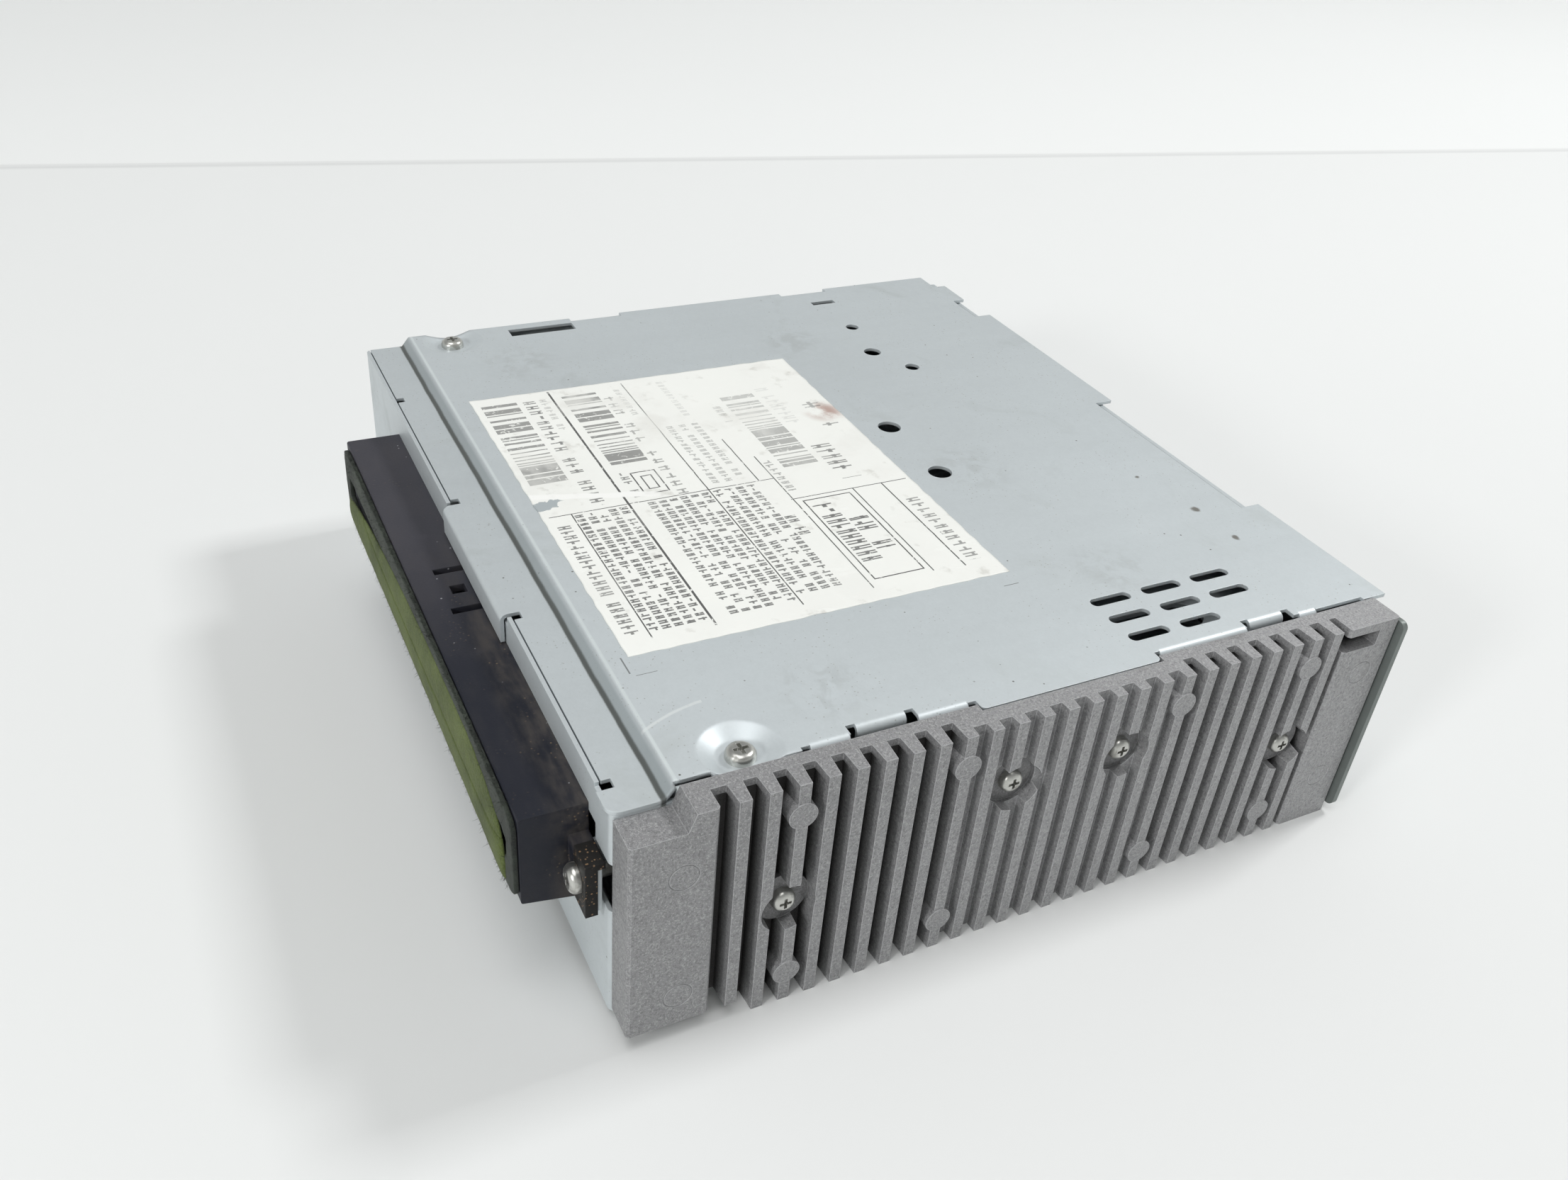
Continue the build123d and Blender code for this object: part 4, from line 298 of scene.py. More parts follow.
def ramp_shade_grime_highlight(f, colour):
    """The lid's ramp: painted shade and grime in a fold with a ragged edge, painted shade on the slope and a
    painted highlight along the crest.
    """
    behind = f.y - case_front
    top = f.z > lid_low[2] + 4 * mm
    ragged = behind + 0.5 * mm * (f.noise(7 * mm, 4) - 0.5)
    # Painted shade with some grime: the dark fold at the ramp's foot, with a ragged edge
    fold = ragged.ramp(ramp_front - 0.75 * mm, ramp_front - 0.3 * mm)
    fold = fold * ragged.ramp(ramp_front + 0.55 * mm, ramp_front + 0.2 * mm) * top
    # Painted shade on the ramp's slope
    slope = behind.ramp(ramp_front - 0.2 * mm, ramp_front + 0.3 * mm)
    slope = slope * behind.ramp(ramp_rear + 0.3 * mm, ramp_rear - 0.6 * mm) * top
    # Painted highlight: a bright line along the ramp's crest
    crest = abs(behind - ramp_rear - 0.65 * mm).ramp(0.45 * mm, 0.15 * mm) * top
    colour = f.mix(slope * 0.75, colour, shown(0.58, 0.61, 0.62))
    colour = f.mix(fold * 0.95, colour, shown(0.37, 0.385, 0.375))
    return f.mix(crest * (0.35 + 0.4 * f.noise(3 * mm, 3)), colour, shown(0.90, 0.93, 0.93))


def pressed_sheet(f):
    """Masks where the press rounded the sheet: along the ramp and round the lid's two screws."""
    behind = f.y - case_front
    pressed = behind.ramp(ramp_rear + 1.6 * mm, ramp_rear + 0.6 * mm)
    pressed = pressed * behind.ramp(ramp_front - 1.6 * mm, ramp_front - 0.6 * mm)
    low, high = (np.array(corner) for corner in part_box("top_cover_screws"))
    half = screw_head / 2
    for x, y in ((low[0] + half, low[1] + half), (high[0] - half, high[1] - half)):
        distance = f.away(x, y, lid_high[2])
        pressed = pressed.larger(distance.ramp(pressed_reach, pressed_reach - 1 * mm))
    return pressed


def zinc_sheet():
    """Zinc-plated steel sheet: pale blue grey, rolled and mottled, with specks, smudges, stains and marks,
    painted light that makes it lighter towards the right, and painted shade, grime and a painted highlight on
    its ramp.
    """
    f = Finish("zinc_sheet")
    clouds = f.noise(28 * mm, 4)
    rolled = f.noise(3 * mm, 3, f.scaled(1, 0.08, 1))
    grain = f.noise(0.35 * mm, 2)
    smudges = f.noise(16 * mm, 5, distortion=0.6).ramp(0.54, 0.72)
    specks = f.cells(4.2 * mm).ramp(0.06, 0.035) * f.noise(16 * mm, 2).ramp(0.46, 0.56)
    dust = f.cells(1.1 * mm).ramp(0.17, 0.08) * f.noise(7 * mm, 4).ramp(0.44, 0.60)
    across, behind = f.x - case_left, f.y - case_front
    strip = behind.ramp(ramp_front + 0.5 * mm, ramp_front)
    # Painted light makes the lid lighter towards the right, like a lamp's broad highlight; the strip in front
    # of the ramp is a little darker
    tone = 0.87 + 0.07 * across.ramp(30 * mm, 175 * mm) - 0.06 * strip
    tone = tone + 0.06 * clouds + 0.06 * rolled + 0.08 * grain + 0.06 * f.noise(1.1 * mm, 3)
    colour = f.tint(shown(0.79, 0.816, 0.826), tone)
    colour = f.mix(smudges * 0.25, colour, shown(0.60, 0.62, 0.60))
    colour = f.mix(dust * 0.42, colour, shown(0.50, 0.49, 0.44))
    colour = f.mix(specks * 0.8, colour, shown(0.28, 0.26, 0.22))
    stains = lid_spots(f, lid_stains, 0.6, f.noise(1.5 * mm, 2) * (1.5 * mm))
    colour = f.mix(stains * 0.8, colour, shown(0.36, 0.33, 0.28))
    streaky = f.noise(2.2 * mm, 5, distortion=0.8).ramp(0.40, 0.66)
    smears = lid_spots(f, lid_smears, 0.2, 0.0) * streaky
    colour = f.mix(smears * 0.15, colour, shown(0.45, 0.45, 0.41))
    etched = etched_lines(f)
    colour = f.mix(etched * 0.75, colour, shown(0.42, 0.43, 0.43))
    colour = f.mix(white_scratch(f) * 0.75, colour, shown(0.90, 0.92, 0.92))
    colour = f.mix(f.edges(0.5 * mm) * 0.3, colour, shown(0.86, 0.88, 0.89))
    # Painted shade and grime in the ramp's fold, painted shade on its slope and a painted highlight on its
    # crest
    colour = ramp_shade_grime_highlight(f, colour)
    beyond_sink = (f.y > sink_high[1] + 0.2 * mm) * (f.x > sink_low[0] + 9 * mm)
    plate_end = beyond_sink * (f.z < lid_high[2] - 1.1 * mm)
    plate_colour = f.tint(shown(0.43, 0.455, 0.44), 0.85 + 0.3 * f.noise(3 * mm, 3))
    colour = f.mix(plate_end * 0.92, colour, plate_colour)
    worn_round = 0.22 * mm + pressed_sheet(f) * (0.75 * mm)
    roughness = 0.38 + 0.10 * clouds + 0.12 * smudges + 0.06 * grain
    height = grain * 0.5 + rolled * 0.4 - etched
    return f.finished(colour, roughness, 0.4, f.bump(height, 0.012 * mm, f.rounded(worn_round)))


def cast_aluminium():
    """Die-cast aluminium: neutral grey with a sandy skin, painted glints, bright edges, and painted shade
    that turns the channels near black.
    """
    f = Finish("cast_aluminium")
    sand = f.noise(0.30 * mm, 3, roughness=0.8)
    glint_specks = f.noise(0.26 * mm, 2, roughness=0.9).ramp(0.50, 0.64)
    pits = f.noise(0.34 * mm, 2, f.scaled(1.0, 1.1, 0.9), roughness=0.9).ramp(0.50, 0.38)
    flow = f.noise(12 * mm, 4, distortion=0.9)
    depth = (f.x * (1 / mm)).ramp(sink_high[0] / mm - 4.7, sink_high[0] / mm - 2.0)
    lighter = (f.y * (1 / mm)).ramp(sink_low[1] / mm + 4, sink_high[1] / mm - 20)
    colour = f.tint(shown(0.585, 0.585, 0.59), 0.72 + 0.2 * lighter + 0.2 * flow + 0.25 * sand)
    # Painted glints: lighter specks where the sandy skin catches the light
    colour = f.mix(glint_specks * 0.34, colour, shown(0.84, 0.84, 0.84))
    colour = f.mix(pits * 0.34, colour, shown(0.30, 0.30, 0.30))
    colour = f.mix(f.edges(0.28 * mm) * 0.6, colour, shown(0.90, 0.90, 0.91))
    # Painted shade: near black deep in the channels between the fins, behind the front block and below the
    # top edge
    between = (f.y * (1 / mm)).ramp(sink_low[1] / mm + 15, sink_low[1] / mm + 17)
    between = between * (f.z < float(sink_high[2]) - 1.6 * mm)
    colour = f.mix((1 - depth) * between * 0.93, colour, shown(0.12, 0.11, 0.10))
    grime = f.noise(5 * mm, 5).ramp(0.58, 0.72) * (1 - depth * 0.7)
    colour = f.mix(grime * 0.3, colour, shown(0.30, 0.28, 0.25))
    normal = f.bump(sand * 0.8 + glint_specks * 0.3 - pits * 0.4, 0.045 * mm, f.rounded(0.22 * mm))
    return f.finished(colour, 0.46 + 0.12 * sand, 0.35, normal)


def plated_screw(name, colour, dirt):
    """Bright plated fastener: handling marks and patches of dirt."""
    f = Finish(name)
    marks = f.noise(0.9 * mm, 4)
    dark = f.noise(1.6 * mm, 3).ramp(0.52, 0.66)
    edge = f.edges(0.25 * mm)
    base = f.tint(colour, 0.8 + 0.3 * marks)
    base = f.mix(dark * dirt, base, shown(0.27, 0.24, 0.19))
    base = f.mix(edge * 0.5, base, shown(0.93, 0.93, 0.92))
    normal = f.bump(marks, 0.02 * mm, f.rounded(0.15 * mm))
    return f.finished(base, 0.22 + 0.2 * marks + 0.3 * dark, 0.95, normal)


def dusty_plastic():
    """Black moulded plastic: blue-black and finely grained, hazy at one end and dusty brown at the other."""
    f = Finish("dusty_plastic")
    grain = f.noise(0.3 * mm, 2)
    clouds = f.noise(9 * mm, 5)
    streaks = f.noise(1.8 * mm, 5, f.scaled(0.3, 1, 1))
    right_end = (f.x * (1 / mm)).ramp(bezel_high[0] / mm - 105, bezel_high[0] / mm - 40)
    near_wall = (f.y * (1 / mm)).ramp(bezel_low[1] / mm + 3.5, bezel_high[1] / mm - 2)
    haze = (1 - right_end) * (0.55 + 0.5 * clouds)
    dust = (clouds * 0.5 + streaks * 0.5).ramp(0.42, 0.62) * (right_end * near_wall + 0.12)
    crumbs = f.cells(1.0 * mm).ramp(0.26, 0.10) * f.noise(5 * mm, 3).ramp(0.52, 0.62)
    fluff = f.cells(2.6 * mm).ramp(0.09, 0.05) * f.noise(9 * mm, 2).ramp(0.5, 0.58)
    colour = f.mix(haze * 0.9, shown(0.105, 0.115, 0.155), shown(0.275, 0.27, 0.295))
    colour = f.mix(dust * 0.7, colour, shown(0.32, 0.30, 0.285))
    colour = f.mix(crumbs * (0.10 + 0.45 * right_end * near_wall), colour, shown(0.55, 0.47, 0.37))
    lug = f.x > bezel_high[0] - lug_width
    dirt = f.tint(shown(0.11, 0.105, 0.095), 0.6 + 0.8 * f.noise(1.2 * mm, 4))
    colour = f.mix(lug * 0.9, colour, dirt)
    colour = f.mix(lug * f.cells(0.8 * mm).ramp(0.28, 0.14) * 0.7, colour, shown(0.62, 0.50, 0.38))
    colour = f.mix(fluff * 0.8, colour, shown(0.68, 0.68, 0.70))
    colour = f.mix(f.edges(0.3 * mm) * 0.15, colour, shown(0.36, 0.35, 0.37))
    normal = f.bump(grain * 0.6 + crumbs, 0.03 * mm, f.rounded(0.3 * mm))
    return f.finished(colour, 0.5 + 0.2 * dust + 0.08 * grain, 0.0, normal, specular_ior_level=0.3)


def moulded(name, colour, roughness, mottle=0.12, grain_size=0.4 * mm, wear=0.2):
    """A moulded or coated finish: mottled colour, grain and slightly worn edges."""
    f = Finish(name)
    grain = f.noise(grain_size, 3)
    clouds = f.noise(6 * mm, 4)
    base = f.tint(colour, 1 - mottle + 2 * mottle * clouds)
    lighter = tuple(min(1.0, part * 1.5 + 0.03) for part in colour[:3]) + (1.0,)
    base = f.mix(f.edges(0.3 * mm) * wear, base, lighter)
    normal = f.bump(grain, 0.015 * mm, f.rounded(0.15 * mm))
    return f.finished(base, roughness + 0.15 * (clouds - 0.5) + 0.08 * grain, 0.0, normal)


def brushed(name, colour, roughness, axis):
    """A drawn or ground metal finish: fine lines that run along one axis."""
    f = Finish(name)
    along = [1.0, 1.0, 1.0]
    along["XYZ".index(axis)] = 0.03
    lines = f.noise(0.5 * mm, 4, f.scaled(*along))
    clouds = f.noise(8 * mm, 3)
    base = f.tint(colour, 0.84 + 0.2 * lines + 0.1 * clouds)
    normal = f.bump(lines, 0.02 * mm, f.rounded(0.15 * mm))
    return f.finished(base, roughness + 0.14 * lines, 0.92, normal)


def circuit_board(name):
    """Solder-masked board: green over copper tracks, with tinned pads."""
    f = Finish(name)
    lanes = f.noise(5 * mm, 2)
    across_tracks = (f.x * (1 / (1.9 * mm)) + lanes * 3) % 1.0
    along_tracks = (f.y * (1 / (2.3 * mm)) + lanes * 2) % 1.0
    split = f.noise(14 * mm, 2).ramp(0.49, 0.51)
    tracks = (across_tracks < 0.42) * split + (along_tracks < 0.4) * (1 - split)
    pads = f.cells(2.6 * mm).ramp(0.20, 0.16)
    colour = f.mix(tracks * 0.7, shown(0.05, 0.27, 0.14), shown(0.12, 0.42, 0.22))
    colour = f.mix(pads, colour, shown(0.75, 0.74, 0.70))
    normal = f.bump(tracks * 0.5 + pads, 0.04 * mm)
    return f.finished(colour, 0.3 + 0.15 * pads, 0.7 * pads, normal, coat_weight=0.3)


def felt_cloth(name, colour, dark, fuzz):
    """Felt or foam: a matt mass of short fibres or cells, lighter where it is rubbed."""
    f = Finish(name)
    strands = f.noise(0.35 * mm, 5, roughness=0.8, distortion=2.0)
    rubbed = f.noise(5 * mm, 4)
    cells = f.cells(0.55 * mm)
    colour = f.mix((strands * 0.6 + rubbed * 0.5).ramp(0.38, 0.72), dark, colour)
    normal = f.bump(strands + cells * fuzz, 0.18 * mm)
    return f.finished(colour, 0.92, 0.0, normal, sheen_weight=0.08, sheen_roughness=0.5)


def lens_glass():
    """Clear coated glass with a violet cast."""
    f = Finish("lens_glass")
    film = f.noise(1.5 * mm, 2)
    colour = f.mix(film, shown(0.82, 0.86, 1.0), shown(0.93, 0.86, 1.0))
    return f.finished(colour, 0.03 + 0.04 * film, 0.0, None, transmission_weight=0.9, ior=1.5)


# Where the label's printed blocks stand: distances in millimetres from its left and front edges
# Bar blocks: left, right, front and rear, and how strongly they are printed
bar_blocks = ((15.7, 52.4, 56.7, 65.3, 0.62), (4.2, 38.9, 20.9, 29.4, 0.75), (3.9, 42.1, 1.7, 10.1, 0.72))
# Rows of strokes: left, right, front edge, count of rows, pitch, height, width of a cell, strength
stroke_rows = (
    (44.2, 60.3, 66.9, 1, 6.0, 4.8, 2.6, 0.85), (14.0, 33.0, 66.7, 1, 6.0, 3.4, 2.2, 0.25),
    (23.5, 37.0, 74.4, 1, 6.0, 4.2, 5.6, 0.8), (72.4, 98.2, 75.8, 1, 6.0, 3.0, 2.3, 0.7),
    (75.3, 88.2, 60.0, 1, 6.0, 4.5, 2.0, 0.9), (68.4, 92.0, 55.0, 1, 6.0, 4.5, 2.15, 0.9),
    (19.6, 28.0, 53.1, 1, 4.0, 1.9, 1.9, 0.4), (47.4, 61.4, 53.1, 1, 4.0, 1.9, 1.9, 0.6),
    (25.7, 53.5, 38.8, 3, 3.1, 1.6, 1.75, 0.5), (3.2, 24.0, 45.0, 1, 3.1, 1.6, 1.75, 0.28),
    (70.3, 80.3, 47.4, 1, 4.0, 2.5, 1.65, 0.85), (56.0, 97.4, 37.4, 4, 2.62, 1.8, 1.6, 0.85),
    (56.0, 99.0, 22.5, 6, 2.42, 1.75, 1.6, 0.85), (4.2, 18.5, 33.7, 1, 3.0, 1.5, 1.8, 0.35),
    (3.5, 54.9, 30.2, 1, 4.0, 2.3, 3.5, 0.65), (42.4, 53.9, 20.8, 1, 4.0, 1.9, 1.9, 0.75),
    (4.2, 20.3, 15.4, 1, 3.0, 1.6, 1.8, 0.35), (3.9, 53.9, 11.5, 1, 4.0, 2.9, 2.6, 0.8),
    (56.0, 99.4, 6.5, 5, 2.42, 1.75, 1.6, 0.9), (59.2, 98.5, 1.8, 1, 4.0, 2.7, 1.9, 0.8),
)
ruled_boxes = ((66.0, 97.8, 54.0, 65.6), (43.3, 52.8, 23.3, 29.1), (45.2, 51.0, 25.0, 27.6))
# Ruled lines: ends along the line, place, thickness
rules_across = (
    (64.6, 99.6, 74.0, 0.32), (64.6, 99.0, 66.8, 0.28), (45.0, 100.3, 52.3, 0.28), (35.3, 55.3, 48.7, 0.28),
    (1.7, 100.7, 36.7, 0.28), (0.7, 101.0, 18.4, 0.5), (55.3, 100.7, 6.0, 0.28),
)
rules_along = ((52.0, 80.5, 64.6, 0.25), (1.4, 52.3, 55.2, 0.25))
stain_middle = (30.0, 78.0)
torn_spot = (51.0, 1.6)  # where the label is torn through


def label_paper():
    """Printed label: worn white film, with meaningless bars, ruled boxes and broken strokes, and stains."""
    f = Finish("label_paper")
    left, front = float(label_low[0]), float(label_low[1])
    u = (f.x - left) * (1 / mm)
    v = (f.y - front) * (1 / mm)

    def block(u0, u1, v0, v1):
        """Masks a rectangle on the label."""
        return (u > u0) * (u < u1) * (v > v0) * (v < v1)

    def chance(*parts):
        """Gives three values by chance, the same wherever the parts are the same."""
        spot = f.add("ShaderNodeCombineXYZ", {}, dict(enumerate(parts)))
        return f.split(f.add("ShaderNodeTexWhiteNoise", {}, {"Vector": spot}, "Color"))

    def strokes(u0, u1, v0, rows, pitch, height, cell):
        """Rows of cells with one or two upright strokes and a short cross stroke, all placed by chance."""
        row, column = (v - v0) / pitch, (u - u0) / cell
        first, second, third = chance(column.floor(), row.floor(), u0 + v0)
        across, up = column % 1.0, (row % 1.0) * (pitch / height)
        width = 0.42 / cell
        stem = abs(across - 0.16 - 0.2 * first).ramp(width * 0.62, width * 0.38) * (first > 0.08)
        other = abs(across - 0.62).ramp(width * 0.62, width * 0.38) * (second > 0.3)
        bar = abs(up - 0.2 - 0.6 * third).ramp(0.15, 0.08) * (across > 0.15) * (across < 0.72)
        inked = stem.larger(other).larger(bar) * (up < 1.0) * (third > 0.09)
        return block(u0, u1, v0, v0 + (rows - 1) * pitch + height) * inked

    def chance_across(width):
        """Gives each stripe of a width a value by chance."""
        sockets = {"W": (u / width).floor()}
        return f.add("ShaderNodeTexWhiteNoise", {"noise_dimensions": "1D"}, sockets, "Value")

    stripes = (chance_across(0.47) > 0.36) * (chance_across(1.3) > 0.1)
    ink = 0.0
    for u0, u1, v0, v1, strength in bar_blocks:
        ink = block(u0, u1, v0, v1) * stripes * strength + ink
    for *place, strength in stroke_rows:
        ink = strokes(*place) * strength + ink
    line = 0.32
    for u0, u1, v0, v1 in ruled_boxes:
        ink = block(u0, u1, v0, v1) - block(u0 + line, u1 - line, v0 + line, v1 - line) + ink
    for u0, u1, at, thick in rules_across:
        ink = ink.larger(block(u0, u1, at, at + thick))
    for v0, v1, at, thick in rules_along:
        ink = ink.larger(block(at, at + thick, v0, v1))
    rubbed = f.noise(9 * mm, 5).ramp(0.52, 0.68) * (u.ramp(70, 10) * 0.75 + 0.25)
    faded = u.ramp(60, 0) * v.ramp(20, 60)
    cracks = f.noise(1.1 * mm, 3, distortion=1.5).ramp(0.60, 0.68)
    peel = abs(u - 54 + (27 - v) * 0.26 + 1.2 * f.noise(4 * mm, 2)).ramp(1.3, 0.7) * v.ramp(27, 25)
    ink = ink * (1 - rubbed * 0.7) * (1 - faded * 0.45) * (1 - cracks * 0.8) * (1 - peel)
    paper = f.tint(shown(0.945, 0.948, 0.93), 0.95 + 0.09 * f.noise(14 * mm, 4))
    creased = f.noise(2.2 * mm, 4, f.scaled(1, 0.25, 1), distortion=1.0).ramp(0.58, 0.70) * u.ramp(50, 75)
    paper = f.mix(creased * 0.35, paper, shown(0.97, 0.975, 0.96))
    paper = f.mix(rubbed * 0.3, paper, shown(0.80, 0.79, 0.765))
    away = f.away(left + stain_middle[0] * mm, front + stain_middle[1] * mm, label_high[2])
    stain = away.ramp(6.5 * mm, 1.5 * mm) * f.noise(4 * mm, 4).ramp(0.36, 0.58)
    paper = f.mix(stain * 0.75, paper, shown(0.62, 0.44, 0.38))
    dirt = f.noise(3 * mm, 5).ramp(0.60, 0.74)
    paper = f.mix(dirt * 0.28, paper, shown(0.58, 0.56, 0.51))
    colour = f.mix(ink * 0.92, paper, shown(0.20, 0.20, 0.205))
    colour = f.mix(peel * 0.7, colour, shown(0.97, 0.97, 0.96))
    lean = torn_spot[0] - u - v * 0.2
    torn = lean * lean + (torn_spot[1] - v) * (torn_spot[1] - v) * 0.25
    bare = (torn + 14 * (f.noise(1.6 * mm, 4, distortion=1.0) - 0.5)).ramp(3.4, 2.6)
    colour = f.mix(bare, colour, shown(0.66, 0.69, 0.70))
    normal = f.bump(f.noise(1.2 * mm, 3) + creased, 0.03 * mm)
    return f.finished(colour, 0.42 + 0.15 * rubbed, 0.0, normal)


def write_finishes():
    """Makes every finish, by the record's material slot."""
    return {
        "zinc_steel": zinc_sheet(),
        "cast_aluminium": cast_aluminium(),
        "screw_steel": plated_screw("screw_steel", shown(0.80, 0.80, 0.78), 0.35),
        "black_plastic": dusty_plastic(),
        "felt": felt_cloth("felt", shown(0.25, 0.28, 0.24), shown(0.06, 0.08, 0.07), 0.3),
        "foam": felt_cloth("foam", shown(0.38, 0.43, 0.21), shown(0.24, 0.285, 0.11), 1.0),
        "label_paper": label_paper(),
        "board_green": circuit_board("board_green"),
        "tin": brushed("tin", shown(0.82, 0.82, 0.80), 0.25, "Y"),
        "capacitor_sleeve": moulded("capacitor_sleeve", shown(0.10, 0.12, 0.22), 0.28, wear=0.4),
        "copper_wire": copper_winding(),
        "chip_epoxy": moulded("chip_epoxy", shown(0.11, 0.11, 0.115), 0.5),
        "white_plastic": moulded("white_plastic", shown(0.86, 0.85, 0.80), 0.38, 0.05),
        "flex_film": moulded("flex_film", shown(0.62, 0.38, 0.13), 0.25, 0.1),
        "motor_steel": brushed("motor_steel", shown(0.68, 0.69, 0.70), 0.28, "Z"),
        "bright_steel": brushed("bright_steel", shown(0.80, 0.80, 0.80), 0.16, "Y"),
        "brass": brushed("brass", shown(0.83, 0.68, 0.38), 0.24, "Y"),
        "roller_rubber": moulded("roller_rubber", shown(0.13, 0.13, 0.13), 0.62, 0.2, 0.3 * mm),
        "damper_rubber": moulded("damper_rubber", shown(0.20, 0.17, 0.15), 0.6, 0.2),
        "lens_glass": lens_glass(),
        "pin_gold": brushed("pin_gold", shown(0.88, 0.76, 0.47), 0.2, "Y"),
    }


def copper_winding():
    """Enamelled copper wire wound in close turns round the choke, with painted shade between the turns."""
    f = Finish("copper_winding")
    turn = (f.z * (1 / (0.7 * mm))) % 1.0
    ridge = 1 - abs(turn - 0.5) * 2
    # Painted shade between the turns and a lighter crown on each turn
    colour = f.tint(shown(0.70, 0.36, 0.16), 0.55 + 0.5 * ridge)
    return f.finished(colour, 0.3 + 0.1 * f.noise(1 * mm), 0.6, f.bump(ridge, 0.25 * mm), coat_weight=0.5)


def surface_mesh(name, points, closed_u=False, closed_v=False):
    """Makes a mesh of quads from a grid of points: rows run along v, columns along u."""
    rows, columns = points.shape[:2]
    grid = np.arange(rows * columns).reshape(rows, columns)
    if closed_u:
        grid = np.concatenate([grid, grid[:, :1]], axis=1)
    if closed_v:
        grid = np.concatenate([grid, grid[:1]], axis=0)
    quads = np.stack([grid[:-1, :-1], grid[:-1, 1:], grid[1:, 1:], grid[1:, :-1]], axis=-1).reshape(-1, 4)
    return mesh_of(name, points.reshape(-1, 3), quads)


def mesh_of(name, points, faces):
    """Puts arrays of points and equal-sided faces into a new mesh object."""
    mesh = bpy.data.meshes.new(name)
    mesh.vertices.add(len(points))
    mesh.vertices.foreach_set("co", np.ascontiguousarray(points, dtype=np.float32).ravel())
    sides = faces.shape[1]
    mesh.loops.add(faces.size)
    mesh.loops.foreach_set("vertex_index", faces.astype(np.int32).ravel())
    mesh.polygons.add(len(faces))
    mesh.polygons.foreach_set("loop_start", np.arange(0, faces.size, sides, dtype=np.int32))
    mesh.update(calc_edges=True)
    mesh.validate()
    made = bpy.data.objects.new(name, mesh)
    bpy.context.scene.collection.objects.link(made)
    return made


def smooth_noise(u, v, size, seed):
    """Sums eight plane waves of random heading and phase, with wavelengths about size: from -1 to 1."""
    draw = np.random.default_rng(seed)
    heading = draw.uniform(0, 2 * np.pi, 8)
    phase = draw.uniform(0, 2 * np.pi, 8)
    length = size * draw.uniform(0.7, 1.6, 8)
    total = np.zeros_like(u)
    for angle, shift, wave in zip(heading, phase, length):
        total += np.sin(2 * np.pi * (u * np.cos(angle) + v * np.sin(angle)) / wave + shift)
    return total / 8


def shade_smooth(made):
    """Shades all faces of a piece smooth."""
    made.data.polygons.foreach_set("use_smooth", [True] * len(made.data.polygons))


def dress(made, material, slot_name, body, *nodes):
    """Gives a piece its finish, ties it to its body and lets it stand for CAD nodes."""
    made.data.materials.append(material)
    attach(made, body)
    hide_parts(*nodes)
    return made


def closed_slab(name, top, bottom):
    """Closes two grids of the same shape into one skin: top faces up, bottom down, rims between."""
    rows, columns = top.shape[:2]
    count = rows * columns
    upper = np.arange(count).reshape(rows, columns)
    lower = upper + count

    def strip(a, b):
        return np.stack([a[:-1], b[:-1], b[1:], a[1:]], axis=-1)

    faces = [
        np.stack([upper[:-1, :-1], upper[:-1, 1:], upper[1:, 1:], upper[1:, :-1]], axis=-1).reshape(-1, 4),
        np.stack([lower[:-1, :-1], lower[1:, :-1], lower[1:, 1:], lower[:-1, 1:]], axis=-1).reshape(-1, 4),
        strip(upper[0], lower[0]),
        strip(lower[-1], upper[-1]),
        strip(lower[:, 0], upper[:, 0]),
        strip(upper[:, -1], lower[:, -1]),
    ]
    return mesh_of(name, np.concatenate([top.reshape(-1, 3), bottom.reshape(-1, 3)]), np.concatenate(faces))


def worn_label(material):
    """The label as a thin sheet z = top + creases(x, y): ridges along wandering lines, low elsewhere."""
    columns, rows = 260, 204
    s, t = np.meshgrid(np.linspace(0, 1, columns), np.linspace(0, 1, rows))
    width, depth = (label_high - label_low)[:2]
    u, v = s * width, t * depth
    line = v - 0.42 * depth - 0.1 * u - 2.5 * mm * smooth_noise(u, v, 40 * mm, 3)
    second = u - 0.62 * width + 0.5 * v - 2 * mm * smooth_noise(u, v, 30 * mm, 5)
    third = u - 0.2 * width - 0.9 * v + 2 * mm * smooth_noise(u, v, 30 * mm, 8)
    creases = sum(
        height * np.exp(-((distance / spread) ** 2))
        for distance, height, spread in (
            (line, 0.12 * mm, 0.9 * mm), (second, 0.08 * mm, 0.7 * mm), (third, 0.06 * mm, 0.8 * mm),
        )
    )
    ripples = 0.018 * mm * (1 + smooth_noise(u, v, 9 * mm, 11))
    ripples = ripples + 0.02 * mm * (1 + smooth_noise(u, v, 25 * mm, 12))
    rim = np.minimum(np.minimum(s * width, (1 - s) * width), np.minimum(t * depth, (1 - t) * depth))
    settle = np.clip(rim / (1.5 * mm), 0, 1)
    ragged = 0.25 * mm * smooth_noise(u, v, 5 * mm, 21) * np.exp(-rim / (1.2 * mm))
    x = label_low[0] + u + ragged * np.sign(0.5 - s) * (np.abs(s - 0.5) > 0.45)
    y = label_low[1] + v + ragged * np.sign(0.5 - t) * (np.abs(t - 0.5) > 0.45)
    z = label_low[2] + 0.10 * mm + (creases + ripples) * settle
    top = np.stack([x, y, z], axis=-1)
    bottom = np.stack([x, y, np.full_like(z, label_low[2] + 0.01 * mm)], axis=-1)
    label = closed_slab("worn_label", top, bottom)
    shade_smooth(label)
    return dress(label, material, "label_paper", "case", "rating_label")


